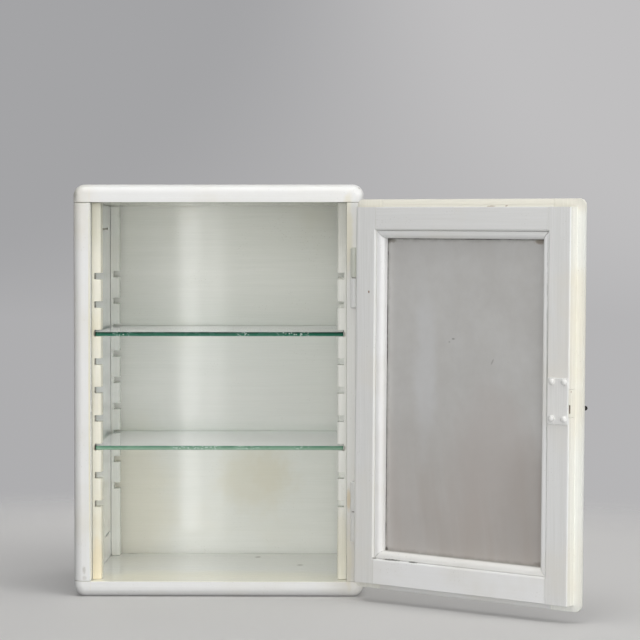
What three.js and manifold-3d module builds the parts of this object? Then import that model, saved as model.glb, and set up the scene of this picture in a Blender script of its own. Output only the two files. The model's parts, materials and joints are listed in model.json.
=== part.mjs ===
// Medical cabinet of white-painted wood with a glazed, lipped door.
//
// Millimetres, +Z up. The case is drawn with its front plane at y = 0, its back towards +Y and
// its underside at z = 0; the last lines move the origin to the middle of the underside.
// The door is drawn shut and then swung open about its hinge pins, as far as it stands at rest.

import * as THREE from 'three';
import { mergeVertices } from 'three/addons/utils/BufferGeometryUtils.js';
import Module from 'manifold-3d';

const wasm = await Module();
wasm.setup();

// Case
const CASE_W = 406;
const CASE_H = 576;
const CASE_D = 321;
const SIDE_T = 24;
const TOP_T = 25;
const BOTTOM_T = 21.5;
const BACK_T = 8;
const BACK_REBATE = 10;
const EDGE_R = 13;
const CORNER_R = 16;
const GAP = 0.3;

const INNER_X = CASE_W / 2 - SIDE_T;
const INNER_TOP = CASE_H - TOP_T;
const BACK_Y = CASE_D - BACK_T;

// Notched ladder strips and the glass shelves that they hold
const STRIP_T = 13.5;
const STRIP_D = 22;
const STRIP_R = 4;
const STRIP_FRONT_Y = 22;
const STRIP_REAR_Y = 285;
const NOTCH_COUNT = 9;
const NOTCH_PITCH = 40;
const NOTCH_LOWEST_Z = 123.5;
const NOTCH_H = 9;
const NOTCH_DEPTH = 9.5;
const SHELF_T = 6;
const SHELF_END_GAP = 0.8;
const SHELF_ARRIS = 0.7;
const SHELF_CORNER_R = 2;
const UPPER_SHELF_LEVEL = 6;
const LOWER_SHELF_LEVEL = 2;

// Door, drawn shut: a body that enters the opening, and a lip that laps over the case front
const OPEN_DEG = 142.5;
const SAG_DEG = 0.53;
const BODY_W = 350.2;
const BODY_H = 517.5;
const BODY_DEPTH = 16;
const BODY_Z0 = 26.2;
const HINGE_EDGE_X = 174.7;
const HINGE_EDGE_R = 6;
const FREE_EDGE_R = 2;
const LIP_T = 9;
const LIP_CLEAR = 0.6;
const LIP_TOP = 11;
const LIP_BOTTOM = 8.5;
const LIP_FREE = 11.5;
const LIP_HINGE = 7.6;
const LIP_R = 6;
const LIP_CORNER_R = 9;

const BODY_Z1 = BODY_Z0 + BODY_H;
const FREE_EDGE_X = HINGE_EDGE_X - BODY_W;
const LIP_BACK_Y = -LIP_CLEAR;
const LIP_FRONT_Y = LIP_BACK_Y - LIP_T;
const INNER_Y = LIP_BACK_Y + BODY_DEPTH;
const DOOR_MID_Z = (BODY_Z0 + BODY_Z1) / 2;

// Glazing: face widths of the frame members up to the rebate, its eased arris, the bead and the pane
const HINGE_STILE_FACE = 35.9;
const LOCK_STILE_FACE = 34.7;
const TOP_RAIL_FACE = 31.9;
const BOTTOM_RAIL_FACE = 35.4;
const ARRIS = 2.2;
const BEAD_W = 10.3;
const BEAD_DROP = 2.6;
const BEAD_R = 6.5;
const PANE_DROP = 14.8;
const PANE_T = 3;
const PANE_EDGE_GAP = 2;
const SHOULDER = GAP + BEAD_W;

const REBATE = {
  x0: FREE_EDGE_X + LOCK_STILE_FACE,
  x1: HINGE_EDGE_X - HINGE_STILE_FACE,
  z0: BODY_Z0 + BOTTOM_RAIL_FACE,
  z1: BODY_Z1 - TOP_RAIL_FACE,
};
const SIGHT = inset(REBATE, SHOULDER);
const PANE_Y1 = INNER_Y - PANE_DROP;
const PANE_Y0 = PANE_Y1 - PANE_T;

// Lift-off hinges: two barrels on a pin, each with a tongue let into the wood
const PIN_X = 189.3;
const PIN_Y = -5.3;
const HINGE_MIDS = { upper_hinge: 446, lower_hinge: 120.5 };
const HINGE_HALF_H = 42;
const HINGE_SLIT = 1.2;
const BARREL_R = 5;
const BARREL_EASE = 1.2;
const PIN_R = 3;
const PIN_GRIP = 30;
const TONGUE_T = 1.6;
const TONGUE_REACH = 30;
const TONGUE_INSET = 4;
const TONGUE_ROOT = 4;
const TONGUE_PLAY = 1.5;

// Lock, let into the lock stile from its inner face, with a cam that throws the bolt
const LOCK_Z = 292;
const LOCK_PLATE_W = 32.8;
const LOCK_PLATE_H = 61;
const LOCK_PLATE_T = 1.4;
const LOCK_PLATE_R = 2;
const LOCK_CASE_Z = 289.5;
const LOCK_CASE_W = 22.6;
const LOCK_CASE_H = 36;
const LOCK_CASE_D = 12.2;
const LOCK_CASE_WALL = 1.5;
const FACEPLATE_T = 1.8;
const SPINDLE_Z = 282;
const SPINDLE_INSET = 14.5;
const SPINDLE_SQUARE = 5;
const SPINDLE_HOLE_R = 3.9;
const CAM_R = 7.5;
const CAM_T = 2.8;
const CAM_THROW = 5;
const CAM_REST_DEG = 45;
const PEG_R = 1.2;
const PEG_L = 3;
const BOLT_H = 11;
const BOLT_T = 3.2;
const BOLT_COVER = 1;
const BOLT_L = 22;
const BOLT_TAIL_H = 9.5;
const BOLT_TAIL_L = 10;
const BOLT_SLOT_W = 3.6;
const BOLT_SLOT_H = 6;
const BOLT_SINK = 0.3;

const LOCK_BACK_Y = INNER_Y - LOCK_CASE_D;
const LOCK_OUTER_X = FREE_EDGE_X + FACEPLATE_T + GAP;
const SPINDLE_X = FREE_EDGE_X + SPINDLE_INSET;
const BOLT_Y1 = INNER_Y - BOLT_COVER;
const BOLT_Y0 = BOLT_Y1 - BOLT_T;
const CAM_Y1 = BOLT_Y0 - GAP;
const CAM_Y0 = CAM_Y1 - CAM_T;

// Turn knob on the outer face
const KNOB_SKIRT_R = 9;
const KNOB_SKIRT_T = 3;
const KNOB_NECK_R = 4.6;
const KNOB_NECK_L = 4.5;
const KNOB_BAR_L = 37;
const KNOB_BAR_H = 6.2;
const KNOB_BAR_D = 8;
const KNOB_BAR_EASE = 2.2;
const KNOB_SOCKET = 6;

// Strike for the bolt, let into the left side
const STRIKE_Z = 279;
const STRIKE_H = 40;
const STRIKE_W = 15;
const STRIKE_T = 1.5;
const STRIKE_HOLE_H = 15;
const STRIKE_HOLE_W = 9;
const MORTISE_DEPTH = 9;

const ARC_STEPS = 6;
const ROUND_STEPS = 24;
const WELD = 1e-4;
const PAST = 1;

const FINISH = {
  enamel: new THREE.MeshStandardMaterial({ color: 0xe6e5df, roughness: 0.35, metalness: 0 }),
  cream: new THREE.MeshStandardMaterial({ color: 0xe4dfcc, roughness: 0.4, metalness: 0 }),
  shelf_glass: glass(0xb9d9c9, 0.05, 0.35),
  hazy_glass: glass(0xa8a6a3, 0.5, 0.7),
  painted_steel: new THREE.MeshStandardMaterial({ color: 0xd3d2cc, roughness: 0.4, metalness: 0.2 }),
  bare_steel: new THREE.MeshStandardMaterial({ color: 0x8d8a85, roughness: 0.45, metalness: 0.9 }),
  black: new THREE.MeshStandardMaterial({ color: 0x161514, roughness: 0.35, metalness: 0 }),
};

function glass(color, roughness, opacity) {
  return new THREE.MeshStandardMaterial({ color, roughness, metalness: 0, transparent: true, opacity });
}

// A closed geometry as a solid that can be joined and cut
function solid(geometry) {
  const bare = geometry.clone();
  bare.deleteAttribute('normal');
  bare.deleteAttribute('uv');
  const welded = mergeVertices(bare, WELD);
  const corners = [];
  for (let i = 0; i < welded.index.count; i += 3) {
    const [a, b, c] = [0, 1, 2].map((k) => welded.index.getX(i + k));
    if (a !== b && b !== c && c !== a) corners.push(a, b, c);
  }
  return new wasm.Manifold(new wasm.Mesh({
    numProp: 3,
    vertProperties: welded.attributes.position.array,
    triVerts: Uint32Array.from(corners),
  }));
}

// A solid back as a geometry
function surface(body) {
  const mesh = body.getMesh();
  const geometry = new THREE.BufferGeometry();
  geometry.setAttribute('position', new THREE.BufferAttribute(mesh.vertProperties, 3));
  geometry.setIndex(new THREE.BufferAttribute(mesh.triVerts, 1));
  geometry.computeVertexNormals();
  return geometry;
}

function box(low, high) {
  const size = high.map((value, axis) => value - low[axis]);
  const middle = high.map((value, axis) => (value + low[axis]) / 2);
  return new THREE.BoxGeometry(...size).translate(...middle);
}

function block(low, high) {
  return solid(box(low, high));
}

function inset(frame, margin) {
  return { x0: frame.x0 + margin, x1: frame.x1 - margin, z0: frame.z0 + margin, z1: frame.z1 - margin };
}

function rectangle({ x0, x1, z0, z1 }) {
  return new THREE.Shape([
    new THREE.Vector2(x0, z0),
    new THREE.Vector2(x1, z0),
    new THREE.Vector2(x1, z1),
    new THREE.Vector2(x0, z1),
  ]);
}

function roundedRect(x0, y0, x1, y1, radius) {
  const shape = new THREE.Shape();
  shape.moveTo(x0 + radius, y0);
  shape.absarc(x1 - radius, y0 + radius, radius, -Math.PI / 2, 0);
  shape.absarc(x1 - radius, y1 - radius, radius, 0, Math.PI / 2);
  shape.absarc(x0 + radius, y1 - radius, radius, Math.PI / 2, Math.PI);
  shape.absarc(x0 + radius, y0 + radius, radius, Math.PI, 1.5 * Math.PI);
  return shape;
}

// A plan outline in x and y, raised from z0 to z1 with its arrises eased
function raised(shape, z0, z1, ease = 0) {
  const options = {
    depth: z1 - z0 - 2 * ease,
    bevelEnabled: ease > 0,
    bevelThickness: ease,
    bevelSize: ease,
    bevelOffset: -ease,
    bevelSegments: 1,
    curveSegments: ARC_STEPS,
  };
  return new THREE.ExtrudeGeometry(shape, options).translate(0, 0, z0 + ease);
}

// A front outline in x and z, running back from y0 to y1 with its arrises rounded
function panel(shape, y0, y1, ease = 0, segments = 2) {
  const options = {
    depth: y1 - y0 - 2 * ease,
    bevelEnabled: ease > 0,
    bevelThickness: ease,
    bevelSize: ease,
    bevelOffset: -ease,
    bevelSegments: segments,
    curveSegments: ARC_STEPS,
  };
  return new THREE.ExtrudeGeometry(shape, options).rotateX(Math.PI / 2).translate(0, y1 - ease, 0);
}

// The same, rounded at the front only: the rounded back is cut away
function frontRounded(shape, radius, y0, y1) {
  const far = CASE_W + CASE_H;
  const whole = solid(panel(shape, y0, y1 + radius, radius, ARC_STEPS));
  return whole.intersect(block([-far, y0 - PAST, -far], [far, y1, far]));
}

function turned(points) {
  const profile = points.map(([radius, height]) => new THREE.Vector2(radius, height));
  return new THREE.LatheGeometry(profile, ROUND_STEPS).rotateX(Math.PI / 2);
}

const nodes = { cabinet: [], wood: [], ironwork: [] };

function add(group, name, geometry, finish) {
  const mesh = new THREE.Mesh(geometry, finish);
  mesh.name = name;
  nodes[group].push(mesh);
}

// Case: one rounded box, hollowed from the front, and parted into its boards
function addCase() {
  const outline = roundedRect(-CASE_W / 2, 0, CASE_W / 2, CASE_H, CORNER_R);
  const cavity = block([-INNER_X, -PAST, BOTTOM_T], [INNER_X, CASE_D + PAST, INNER_TOP]);
  const rebate = block(
    [-INNER_X - BACK_REBATE, BACK_Y, BOTTOM_T - BACK_REBATE],
    [INNER_X + BACK_REBATE, CASE_D + PAST, INNER_TOP + BACK_REBATE],
  );
  const shell = frontRounded(outline, EDGE_R, 0, CASE_D).subtract(cavity).subtract(rebate);
  const part = (x0, x1, z0, z1) => shell.intersect(block([x0, -PAST, z0], [x1, CASE_D + PAST, z1]));
  const wide = CASE_W;
  const sideLow = BOTTOM_T + GAP;
  const sideHigh = INNER_TOP - GAP;
  const left = part(-wide, 0, sideLow, sideHigh).subtract(strikeRecess());
  let right = part(0, wide, sideLow, sideHigh);
  for (const mid of Object.values(HINGE_MIDS)) right = right.subtract(frameTongue(mid, GAP));

  add('cabinet', 'top_board', surface(part(-wide, wide, INNER_TOP, CASE_H + PAST)), FINISH.enamel);
  add('cabinet', 'bottom_board', surface(part(-wide, wide, -PAST, BOTTOM_T)), FINISH.enamel);
  add('cabinet', 'left_side', surface(left), FINISH.enamel);
  add('cabinet', 'right_side', surface(right), FINISH.enamel);

  const reach = BACK_REBATE - GAP;
  const back = box(
    [-INNER_X - reach, BACK_Y + GAP, BOTTOM_T - reach],
    [INNER_X + reach, CASE_D, INNER_TOP + reach],
  );
  add('cabinet', 'back_panel', back, FINISH.enamel);
}

function notchZ(level) {
  return NOTCH_LOWEST_Z + level * NOTCH_PITCH;
}

// Ladder strip on one side wall (-1 left, 1 right), with blind notches cut into its inner face
function addLadder(name, side, y0) {
  const y1 = y0 + STRIP_D;
  const across = (fromWall) => side * (INNER_X - fromWall);
  const plan = new THREE.Shape();
  plan.moveTo(across(GAP), y0);
  plan.lineTo(across(STRIP_T - STRIP_R), y0);
  plan.quadraticCurveTo(across(STRIP_T), y0, across(STRIP_T), y0 + STRIP_R);
  plan.lineTo(across(STRIP_T), y1);
  plan.lineTo(across(GAP), y1);
  let strip = solid(raised(plan, BOTTOM_T + GAP, INNER_TOP - GAP));
  const ends = [across(STRIP_T - NOTCH_DEPTH), across(STRIP_T + PAST)].sort((a, b) => a - b);
  for (let level = 0; level < NOTCH_COUNT; level += 1) {
    const z = notchZ(level);
    strip = strip.subtract(block([ends[0], y0 - PAST, z], [ends[1], y1 + PAST, z + NOTCH_H]));
  }
  add('cabinet', name, surface(strip), FINISH.cream);
}

function addShelf(name, level) {
  const halfWidth = INNER_X - STRIP_T + NOTCH_DEPTH - SHELF_END_GAP;
  const rearY = STRIP_REAR_Y + STRIP_D;
  const plan = roundedRect(-halfWidth, STRIP_FRONT_Y + PAST, halfWidth, rearY, SHELF_CORNER_R);
  const z0 = notchZ(level) + GAP;
  add('cabinet', name, raised(plan, z0, z0 + SHELF_T, SHELF_ARRIS), FINISH.shelf_glass);
}

// Tongue of a hinge half, let into the edge of the case, with some play round it when cut as a slot
function frameTongue(mid, play) {
  return block(
    [PIN_X - TONGUE_T / 2 - play, PIN_Y + TONGUE_ROOT, mid - HINGE_HALF_H + TONGUE_INSET - play],
    [PIN_X + TONGUE_T / 2 + play, TONGUE_REACH + play, mid - HINGE_SLIT - TONGUE_INSET + play],
  );
}

// Tongue of a hinge half, let into the edge of the door
function doorTongue(mid, play, sagPlay) {
  const z0 = mid + HINGE_SLIT + TONGUE_INSET - sagPlay;
  const z1 = mid + HINGE_HALF_H - TONGUE_INSET + sagPlay;
  return block(
    [PIN_X - TONGUE_REACH - sagPlay, PIN_Y - TONGUE_T / 2 - play, z0],
    [PIN_X - TONGUE_ROOT, PIN_Y + TONGUE_T / 2 + play, z1],
  );
}

// Barrel above (1) or below (-1) the slit, bored from the slit for the pin
function barrel(mid, way) {
  const near = HINGE_SLIT / 2;
  const bore = PIN_R + GAP;
  const points = [
    [0, near + PIN_GRIP + GAP],
    [bore, near + PIN_GRIP + GAP],
    [bore, near],
    [BARREL_R, near],
    [BARREL_R, HINGE_HALF_H - BARREL_EASE],
    [BARREL_R - BARREL_EASE, HINGE_HALF_H],
    [0, HINGE_HALF_H],
  ].map(([radius, height]) => [radius, way * height]);
  if (way < 0) points.reverse();
  return solid(turned(points).translate(PIN_X, PIN_Y, mid));
}

function addHinge(name, mid) {
  const grip = PIN_GRIP + HINGE_SLIT / 2 - GAP;
  const pin = [[0, -grip], [PIN_R, -grip], [PIN_R, grip - PIN_R], [PIN_R / 2, grip], [0, grip]];
  const frameHalf = barrel(mid, -1).add(frameTongue(mid, 0));
  const doorHalf = barrel(mid, 1).add(doorTongue(mid, 0, 0));
  add('cabinet', `${name}_frame_half`, surface(frameHalf), FINISH.painted_steel);
  add('cabinet', `${name}_pin`, turned(pin).translate(PIN_X, PIN_Y, mid), FINISH.bare_steel);
  add('ironwork', `${name}_door_half`, surface(doorHalf), FINISH.painted_steel);
}

// Door frame: body and lip in one, rebated for the glass, then parted into stiles and rails
function addDoorFrame() {
  const plan = new THREE.Shape();
  const hidden = LIP_BACK_Y - LIP_T / 2;
  plan.moveTo(FREE_EDGE_X, hidden);
  plan.lineTo(HINGE_EDGE_X, hidden);
  plan.absarc(HINGE_EDGE_X - HINGE_EDGE_R, INNER_Y - HINGE_EDGE_R, HINGE_EDGE_R, 0, Math.PI / 2);
  plan.absarc(FREE_EDGE_X + FREE_EDGE_R, INNER_Y - FREE_EDGE_R, FREE_EDGE_R, Math.PI / 2, Math.PI);
  const lipOutline = roundedRect(
    FREE_EDGE_X - LIP_FREE,
    BODY_Z0 - LIP_BOTTOM,
    HINGE_EDGE_X + LIP_HINGE,
    BODY_Z1 + LIP_TOP,
    LIP_CORNER_R,
  );
  const lip = frontRounded(lipOutline, LIP_R, LIP_FRONT_Y, LIP_BACK_Y);
  const rebate = block(
    [REBATE.x0, PANE_Y0 - GAP, REBATE.z0],
    [REBATE.x1, INNER_Y + PAST, REBATE.z1],
  );
  const mouth = rectangle(inset(REBATE, -ARRIS));
  const flare = solid(panel(mouth, INNER_Y - ARRIS, INNER_Y + 2 * ARRIS, ARRIS, 1));
  const sight = block([SIGHT.x0, LIP_FRONT_Y - PAST, SIGHT.z0], [SIGHT.x1, INNER_Y, SIGHT.z1]);
  let frame = solid(raised(plan, BODY_Z0, BODY_Z1)).add(lip);
  for (const cut of [rebate, flare, sight, ...lockPockets()]) frame = frame.subtract(cut);
  for (const mid of Object.values(HINGE_MIDS)) frame = frame.subtract(doorTongue(mid, GAP, TONGUE_PLAY));

  const far = CASE_W + CASE_H;
  const stile = (arrisX, sightX, edge, gap) => slab(arrisX, edge, -far, far, gap)
    .add(slab(sightX, edge, -far, PANE_Y0 - GAP, gap));
  const hingeSide = (gap) => stile(REBATE.x1, SIGHT.x1, far, gap);
  const lockSide = (gap) => stile(REBATE.x0, SIGHT.x0, -far, gap);
  const rails = frame.subtract(hingeSide(GAP)).subtract(lockSide(GAP));
  add('wood', 'hinge_stile', surface(frame.intersect(hingeSide(0))), FINISH.enamel);
  add('wood', 'lock_stile', surface(frame.intersect(lockSide(0))), FINISH.enamel);
  const half = (z0, z1) => rails.intersect(block([-far, -far, z0], [far, far, z1]));
  add('wood', 'top_rail', surface(half(DOOR_MID_Z, far)), FINISH.enamel);
  add('wood', 'bottom_rail', surface(half(-far, DOOR_MID_Z)), FINISH.enamel);
}

// All that lies between two planes x, of full height, between two planes y, grown by a gap
function slab(xa, xb, y0, y1, gap) {
  const far = CASE_W + CASE_H;
  return block([Math.min(xa, xb) - gap, y0, -far], [Math.max(xa, xb) + gap, y1 + gap, far]);
}

// Bead of a quarter-round profile along one edge of the glass, its round turned to the glass.
// It is drawn along +X for a bottom edge with the glass above, from the corner of the rebate.
function bead(length) {
  const low = PANE_Y1 + GAP;
  const high = INNER_Y - BEAD_DROP;
  const profile = new THREE.Shape();
  profile.moveTo(low, GAP);
  profile.lineTo(high, GAP);
  profile.lineTo(high, SHOULDER - BEAD_R);
  profile.absarc(high - BEAD_R, SHOULDER - BEAD_R, BEAD_R, 0, Math.PI / 2);
  profile.lineTo(low, SHOULDER);
  const options = { depth: length, bevelEnabled: false, curveSegments: ARC_STEPS };
  const bar = new THREE.ExtrudeGeometry(profile, options);
  // The profile's x and y become the cabinet's y and z, and the extrusion runs along x
  bar.applyMatrix4(new THREE.Matrix4().makeBasis(
    new THREE.Vector3(0, 1, 0),
    new THREE.Vector3(0, 0, 1),
    new THREE.Vector3(1, 0, 0),
  ));
  const mitre = new THREE.Shape();
  mitre.moveTo(2 * GAP, GAP);
  mitre.lineTo(length - 2 * GAP, GAP);
  mitre.lineTo(length - SHOULDER - GAP, SHOULDER);
  mitre.lineTo(SHOULDER + GAP, SHOULDER);
  return surface(solid(bar).intersect(solid(panel(mitre, low - PAST, high + PAST))));
}

// Mitred beads that hold the pane from inside, and the pane
function addGlazing() {
  const width = REBATE.x1 - REBATE.x0;
  const height = REBATE.z1 - REBATE.z0;
  const turns = {
    bottom_bead: [width, 0, REBATE.x0, REBATE.z0],
    hinge_side_bead: [height, -Math.PI / 2, REBATE.x1, REBATE.z0],
    top_bead: [width, Math.PI, REBATE.x1, REBATE.z1],
    lock_side_bead: [height, Math.PI / 2, REBATE.x0, REBATE.z1],
  };
  for (const [name, [length, turn, x, z]] of Object.entries(turns)) {
    add('wood', name, bead(length).rotateY(turn).translate(x, 0, z), FINISH.enamel);
  }
  const edge = inset(REBATE, PANE_EDGE_GAP);
  const pane = box([edge.x0, PANE_Y0, edge.z0], [edge.x1, PANE_Y1, edge.z1]);
  add('wood', 'door_pane', pane, FINISH.hazy_glass);
}

// Recesses in the lock stile: for the lock case, the faceplate, the spindle
function lockPockets() {
  const lockCase = block(
    [FREE_EDGE_X - PAST, LOCK_BACK_Y - GAP, LOCK_CASE_Z - LOCK_CASE_H / 2 - GAP],
    [LOCK_OUTER_X + LOCK_CASE_W + GAP, INNER_Y + PAST, LOCK_CASE_Z + LOCK_CASE_H / 2 + GAP],
  );
  const spindle = turned([
    [0, LIP_FRONT_Y - PAST],
    [SPINDLE_HOLE_R, LIP_FRONT_Y - PAST],
    [SPINDLE_HOLE_R, INNER_Y],
    [0, INNER_Y],
  ]);
  return [lockCase, solid(spindle.rotateX(-Math.PI / 2).translate(SPINDLE_X, 0, SPINDLE_Z))];
}

function addLock() {
  const x0 = LOCK_OUTER_X;
  const x1 = LOCK_OUTER_X + LOCK_CASE_W;
  const z0 = LOCK_CASE_Z - LOCK_CASE_H / 2;
  const z1 = LOCK_CASE_Z + LOCK_CASE_H / 2;
  const boltZ0 = SPINDLE_Z - BOLT_H / 2;
  const boltZ1 = SPINDLE_Z + BOLT_H / 2;

  const hollow = block(
    [x0 + LOCK_CASE_WALL, LOCK_BACK_Y + LOCK_CASE_WALL, z0 + LOCK_CASE_WALL],
    [x1 - LOCK_CASE_WALL, INNER_Y + PAST, z1 - LOCK_CASE_WALL],
  );
  const boltWay = block(
    [FREE_EDGE_X - PAST, BOLT_Y0 - GAP, boltZ0 - GAP],
    [x1 - PAST, BOLT_Y1 + GAP, boltZ1 + GAP],
  );
  const spindleWay = turned([
    [0, LOCK_BACK_Y - PAST],
    [SPINDLE_HOLE_R, LOCK_BACK_Y - PAST],
    [SPINDLE_HOLE_R, INNER_Y],
    [0, INNER_Y],
  ]);
  const lockCase = block([x0, LOCK_BACK_Y, z0], [x1, INNER_Y - GAP, z1])
    .subtract(hollow)
    .subtract(boltWay)
    .subtract(solid(spindleWay.rotateX(-Math.PI / 2).translate(SPINDLE_X, 0, SPINDLE_Z)));
  add('wood', 'lock_case', surface(lockCase), FINISH.bare_steel);

  const plateZ0 = LOCK_Z - LOCK_PLATE_H / 2;
  const plate = roundedRect(
    FREE_EDGE_X + GAP,
    plateZ0,
    FREE_EDGE_X + LOCK_PLATE_W,
    plateZ0 + LOCK_PLATE_H,
    LOCK_PLATE_R,
  );
  const plateY = INNER_Y + GAP;
  add('wood', 'lock_plate', panel(plate, plateY, plateY + LOCK_PLATE_T), FINISH.painted_steel);

  const faceplate = block([FREE_EDGE_X, LOCK_BACK_Y, z0], [FREE_EDGE_X + FACEPLATE_T, INNER_Y, z1]);
  add('wood', 'lock_faceplate', surface(faceplate.subtract(boltWay)), FINISH.painted_steel);
}

// Bolt with a slotted tail for the cam's peg, drawn withdrawn
function addBolt() {
  const x0 = FREE_EDGE_X + BOLT_SINK;
  const x1 = x0 + BOLT_L;
  const z0 = SPINDLE_Z - BOLT_H / 2;
  const z1 = SPINDLE_Z + BOLT_H / 2;
  const rest = THREE.MathUtils.degToRad(CAM_REST_DEG);
  const slotX = SPINDLE_X + CAM_THROW * Math.sin(rest);
  const slotZ = SPINDLE_Z + CAM_THROW * (1 + Math.cos(rest)) / 2;
  const bar = block([x0, BOLT_Y0, z0], [x1, BOLT_Y1, z1]);
  const tail = block([x1 - BOLT_TAIL_L, BOLT_Y0, SPINDLE_Z], [x1, BOLT_Y1, SPINDLE_Z + BOLT_TAIL_H]);
  const slot = block(
    [slotX - BOLT_SLOT_W / 2, BOLT_Y0 - PAST, slotZ - BOLT_SLOT_H / 2],
    [slotX + BOLT_SLOT_W / 2, BOLT_Y1 + PAST, slotZ + BOLT_SLOT_H / 2],
  );
  add('wood', 'latch_bolt', surface(bar.add(tail).subtract(slot)), FINISH.bare_steel);
}

// Knob, spindle and cam, all on one axis through the stile
function addKnob() {
  const square = SPINDLE_SQUARE / 2;
  const centred = (geometry) => geometry.translate(SPINDLE_X, 0, SPINDLE_Z);
  const socket = solid(centred(box(
    [-square - GAP, LIP_FRONT_Y - KNOB_SOCKET - GAP, -square - GAP],
    [square + GAP, INNER_Y, square + GAP],
  )));

  const baseY = LIP_FRONT_Y - GAP;
  const neckY = baseY - KNOB_SKIRT_T - KNOB_NECK_L;
  const stem = turned([
    [0, neckY - KNOB_BAR_D / 2],
    [KNOB_NECK_R, neckY - KNOB_BAR_D / 2],
    [KNOB_NECK_R, baseY - KNOB_SKIRT_T],
    [KNOB_SKIRT_R, baseY - KNOB_SKIRT_T / 2],
    [KNOB_SKIRT_R, baseY],
    [0, baseY],
  ]);
  const [barX, barZ] = [KNOB_BAR_L / 2, KNOB_BAR_H / 2];
  const barShape = roundedRect(-barX, -barZ, barX, barZ, barZ);
  const bar = panel(barShape, neckY - KNOB_BAR_D, neckY, KNOB_BAR_EASE, 3);
  const knob = solid(centred(stem.rotateX(-Math.PI / 2))).add(solid(centred(bar)));
  add('wood', 'turn_knob', surface(knob.subtract(socket)), FINISH.black);

  const spindle = box(
    [-square, LIP_FRONT_Y - KNOB_SOCKET, -square],
    [square, CAM_Y1, square],
  );
  add('wood', 'knob_spindle', centred(spindle), FINISH.bare_steel);

  const rest = THREE.MathUtils.degToRad(CAM_REST_DEG);
  const disc = turned([[0, CAM_Y0], [CAM_R, CAM_Y0], [CAM_R, CAM_Y1], [0, CAM_Y1]]);
  const pegRoot = CAM_Y0 + CAM_T / 2;
  const pegTip = CAM_Y1 + PEG_L;
  const peg = turned([[0, pegRoot], [PEG_R, pegRoot], [PEG_R, pegTip], [0, pegTip]]);
  peg.rotateX(-Math.PI / 2).translate(CAM_THROW * Math.sin(rest), 0, CAM_THROW * Math.cos(rest));
  const cam = solid(centred(disc.rotateX(-Math.PI / 2))).add(solid(centred(peg))).subtract(socket);
  add('wood', 'lock_cam', surface(cam), FINISH.bare_steel);
}

function strikeRecess() {
  const y = (BOLT_Y0 + BOLT_Y1) / 2;
  const plate = block(
    [-INNER_X - STRIKE_T - GAP, y - STRIKE_W / 2 - GAP, STRIKE_Z - STRIKE_H / 2 - GAP],
    [-INNER_X + PAST, y + STRIKE_W / 2 + GAP, STRIKE_Z + STRIKE_H / 2 + GAP],
  );
  return plate.add(strikeHole(MORTISE_DEPTH));
}

function strikeHole(depth) {
  const y = (BOLT_Y0 + BOLT_Y1) / 2;
  return block(
    [-INNER_X - depth, y - STRIKE_HOLE_W / 2, STRIKE_Z - STRIKE_HOLE_H / 2],
    [-INNER_X + PAST, y + STRIKE_HOLE_W / 2, STRIKE_Z + STRIKE_HOLE_H / 2],
  );
}

function addStrike() {
  const y = (BOLT_Y0 + BOLT_Y1) / 2;
  const plate = block(
    [-INNER_X - STRIKE_T, y - STRIKE_W / 2, STRIKE_Z - STRIKE_H / 2],
    [-INNER_X, y + STRIKE_W / 2, STRIKE_Z + STRIKE_H / 2],
  );
  add('cabinet', 'strike_plate', surface(plate.subtract(strikeHole(MORTISE_DEPTH))), FINISH.painted_steel);
}

addCase();
addLadder('front_left_ladder', -1, STRIP_FRONT_Y);
addLadder('front_right_ladder', 1, STRIP_FRONT_Y);
addLadder('rear_left_ladder', -1, STRIP_REAR_Y);
addLadder('rear_right_ladder', 1, STRIP_REAR_Y);
addShelf('upper_shelf', UPPER_SHELF_LEVEL);
addShelf('lower_shelf', LOWER_SHELF_LEVEL);
addStrike();
for (const [name, mid] of Object.entries(HINGE_MIDS)) addHinge(name, mid);
addDoorFrame();
addGlazing();
addLock();
addBolt();
addKnob();

// The woodwork of the door hangs a little low at its free edge, turned about the hinge edge
const hang = new THREE.Group();
hang.position.set(HINGE_EDGE_X - PIN_X, -PIN_Y, DOOR_MID_Z);
hang.rotation.y = -THREE.MathUtils.degToRad(SAG_DEG);
const wood = new THREE.Group();
wood.position.set(-HINGE_EDGE_X, 0, -DOOR_MID_Z);
wood.add(...nodes.wood);
hang.add(wood);

// The door swings about the hinge pins
const ironwork = new THREE.Group();
ironwork.position.set(-PIN_X, -PIN_Y, 0);
ironwork.add(...nodes.ironwork);
const door = new THREE.Group();
door.position.set(PIN_X, PIN_Y, 0);
door.rotation.z = THREE.MathUtils.degToRad(OPEN_DEG);
door.add(hang, ironwork);

const cabinet = new THREE.Group();
cabinet.name = 'medical_cabinet';
cabinet.position.y = -CASE_D / 2;
cabinet.add(...nodes.cabinet, door);

export default cabinet;
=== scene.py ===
"""Looks of a small white-painted medical cabinet with glass shelves and a glazed door."""

import json
import logging
import math
from dataclasses import dataclass, field
from enum import Enum, IntEnum
from typing import Callable, Sequence, Union

import bpy
from mathutils import Matrix, Vector

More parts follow.
